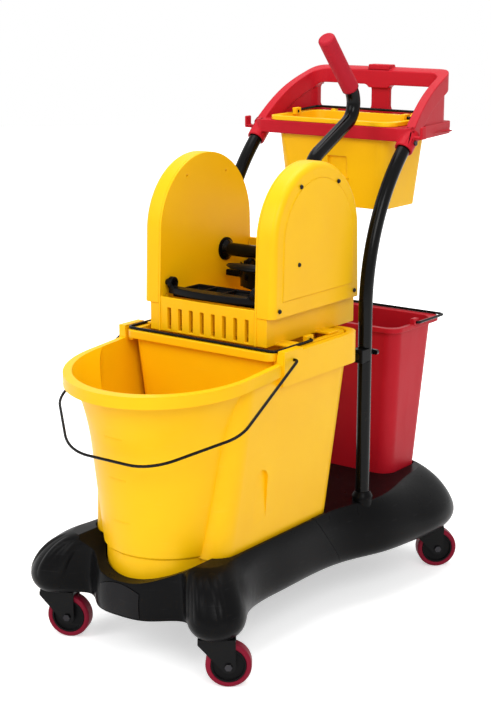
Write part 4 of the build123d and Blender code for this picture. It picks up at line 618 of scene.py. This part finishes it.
fold.links.new(laid_spot.outputs["Vector"], laid.inputs["Position"])
smooth = fold.nodes.new("GeometryNodeSetShadeSmooth")
fold.links.new(laid.outputs["Geometry"], smooth.inputs["Geometry"])
real = fold.nodes.new("GeometryNodeRealizeInstances")
fold.links.new(smooth.outputs["Geometry"], real.inputs["Geometry"])
end_with_material(fold, fold_in, fold_out, real.outputs["Geometry"])


# %% Foot folds
def lines_mesh(name, lines):
    """Mesh of open lines of (point, facing) pairs."""
    points, facings, edges = [], [], []
    for line in lines:
        first = len(points)
        points += [point for point, facing in line]
        facings += [facing for point, facing in line]
        edges += [(first + index, first + index + 1) for index in range(len(line) - 1)]
    mesh = bpy.data.meshes.new(name)
    mesh.from_pydata(points, edges, [])
    values = mesh.attributes.new("aim", "FLOAT_VECTOR", "POINT")
    for index, facing in enumerate(facings):
        values.data[index].vector = facing
    return mesh


base_finder = surface_finder("base_front")
foot_pivot = Vector((0.1735, -0.345, 0.0))
foot_radius, skirt_z, deck_z, dome_power, line_steps = 0.046, 0.115, 0.192, 1.6, 16


def foot_line(side, turn, deck_x, deck_y):
    """Line on the base from a foot's outline up to the deck."""
    angle = math.radians(turn)
    foot = foot_pivot + foot_radius * Vector((math.cos(angle), math.sin(angle), 0.0))
    line = []
    for step in range(line_steps):
        share = step / line_steps
        spread = (1 - share**dome_power) ** (1 / dome_power)
        spot = Vector((deck_x, deck_y, 0.0)).lerp(foot, spread)
        spot = Vector((side * spot.x, spot.y, skirt_z + (deck_z - skirt_z) * share))
        found, normal, face, distance = base_finder.find_nearest(spot)
        line.append((found, normal))
    return line


fold_wall = 0.001
fold_ends = ((-137, 0.112, -0.333), (-90, 0.126, -0.333), (-35, 0.140, -0.323))
fold_lines = [foot_line(side, *ends) for side in (-1, 1) for ends in fold_ends]
grow_piece("foot_folds", lines_mesh("fold lines", fold_lines), fold,
           {"Surface": nodes["base_front"]}, "chassis", "black_plastic", wall=fold_wall)

# %% [markdown]
# ## Boots at the foot of the posts
# A black rubber boot closes the socket where each post enters the base. It is turned: a closed
# profile of radius and height is carried round the post's axis in even steps.

# %% Turned piece helper
def turned(name, profile, centres, body, slot, steps=40):
    """Closed rings turned about upright axes from a loop of (radius, height) points."""
    points, faces = [], []
    count = len(profile)
    for centre_x, centre_y in centres:
        first = len(points)
        for step in range(steps):
            angle = 2 * math.pi * step / steps
            for radius, height in profile:
                points.append((centre_x + radius * math.cos(angle),
                               centre_y + radius * math.sin(angle), height))
        for step in range(steps):
            here, there = first + step * count, first + (step + 1) % steps * count
            for index in range(count):
                after = (index + 1) % count
                faces.append((here + index, there + index, there + after, here + after))
    mesh = bpy.data.meshes.new(name)
    mesh.from_pydata(points, [], faces)
    shape = bmesh.new()
    shape.from_mesh(mesh)
    bmesh.ops.recalc_face_normals(shape, faces=shape.faces)
    shape.to_mesh(mesh)
    shape.free()
    mesh.shade_smooth()
    print(name, len(mesh.polygons), "faces")
    return add_piece(name, mesh, body, slot)


# %% Post boots
post_x, post_y = 0.164, 0.107
boot_profile = [(0.0127, 0.1965), (0.0187, 0.1965), (0.0190, 0.1985), (0.0184, 0.2010),
                (0.0160, 0.2048), (0.0142, 0.2082), (0.0134, 0.2090), (0.0127, 0.2086)]
turned("post_boots", boot_profile, ((post_x, post_y), (-post_x, post_y)),
       "chassis", "black_plastic")

# %% [markdown]
# ## Studio
# A pale floor, three soft lights and a white surround. The surround is white only to the camera
# and to mirror-like rays, so that it doesn't flood the plastic with light. The floor's own glow
# grows away from the cart, so it stays white to the horizon and keeps the shadow near the wheels.

# %% Floor
floor_radius, floor_sides, floor_drop = 9.0, 96, 0.0005
glow_start, glow_full, glow_near, glow_far = 0.5, 1.8, 0.5, 1.0
floor_mesh = bpy.data.meshes.new("floor")
disc = bmesh.new()
bmesh.ops.create_circle(disc, cap_ends=True, segments=floor_sides, radius=floor_radius)
disc.to_mesh(floor_mesh)
disc.free()
floor = bpy.data.objects.new("floor", floor_mesh)
bpy.context.collection.objects.link(floor)
floor.location.z = -floor_drop
floor_paint = bpy.data.materials.new("floor paint")
floor_paint.use_nodes = True
paint = floor_paint.node_tree
paint_shader = paint.nodes["Principled BSDF"]
paint_shader.inputs["Base Color"].default_value = (0.9, 0.9, 0.9, 1.0)
paint_shader.inputs["Roughness"].default_value = 0.9
paint_shader.inputs["Emission Color"].default_value = (1.0, 1.0, 1.0, 1.0)


def white_rays(tree):
    """Mask of the rays that see the plain background."""
    ray = tree.nodes.new("ShaderNodeLightPath")
    mirror = math_node(tree, "MAXIMUM", ray.outputs["Is Glossy Ray"],
                       ray.outputs["Is Transmission Ray"])
    return math_node(tree, "MAXIMUM", ray.outputs["Is Camera Ray"], mirror)


floor_place = paint.nodes.new("ShaderNodeTexCoord")
floor_reach = paint.nodes.new("ShaderNodeVectorMath")
floor_reach.operation = "LENGTH"
paint.links.new(floor_place.outputs["Object"], floor_reach.inputs[0])
floor_glow = ramp_node(paint, floor_reach.outputs["Value"], glow_start, glow_full,
                       low=glow_near, high=glow_far)
paint.links.new(math_node(paint, "MULTIPLY", white_rays(paint), floor_glow),
                paint_shader.inputs["Emission Strength"])
floor_mesh.materials.append(floor_paint)


# %% Lights
def soft_light(name, place, target, size, power):
    """Round area light that faces a target."""
    light = bpy.data.lights.new(name, "AREA")
    light.shape = "DISK"
    light.size = size
    light.energy = power
    lamp = bpy.data.objects.new(name, light)
    bpy.context.collection.objects.link(lamp)
    lamp.location = place
    lamp.rotation_euler = (Vector(target) - Vector(place)).to_track_quat("-Z", "Y").to_euler()


middle = (0.0, 0.0, 0.45)
soft_light("key", (2.4, -2.2, 2.6), middle, 1.8, 52.0)
soft_light("fill", (-1.0, -3.0, 2.5), middle, 2.2, 42.0)
soft_light("top", (-0.2, 0.4, 3.2), middle, 2.4, 48.0)

# %% Surround
surround_light, surround_seen = 0.55, 1.0
world = bpy.data.worlds.new("studio")
bpy.context.scene.world = world
world.use_nodes = True
sky = world.node_tree
backdrop = sky.nodes["Background"]
backdrop.inputs["Color"].default_value = (1.0, 1.0, 1.0, 1.0)
level = ramp_node(sky, white_rays(sky), 0.0, 1.0, low=surround_light, high=surround_seen)
sky.links.new(level, backdrop.inputs["Strength"])
print("lights:", [lamp.name for lamp in bpy.data.lights])

# %% Camera
focal_length, sensor_width = 79.59, 36.0
camera_place, camera_tilt, camera_turn = (1.644, -2.2375, 1.138), 13.9, 36.67
lens = bpy.data.cameras.new("photo view")
lens.sensor_width = sensor_width
lens.lens = focal_length
camera = bpy.data.objects.new("photo view", lens)
bpy.context.collection.objects.link(camera)
camera.location = camera_place
camera.rotation_euler = (math.radians(90 - camera_tilt), 0.0, math.radians(camera_turn))
bpy.context.scene.camera = camera
bpy.context.scene.view_settings.view_transform = "Standard"
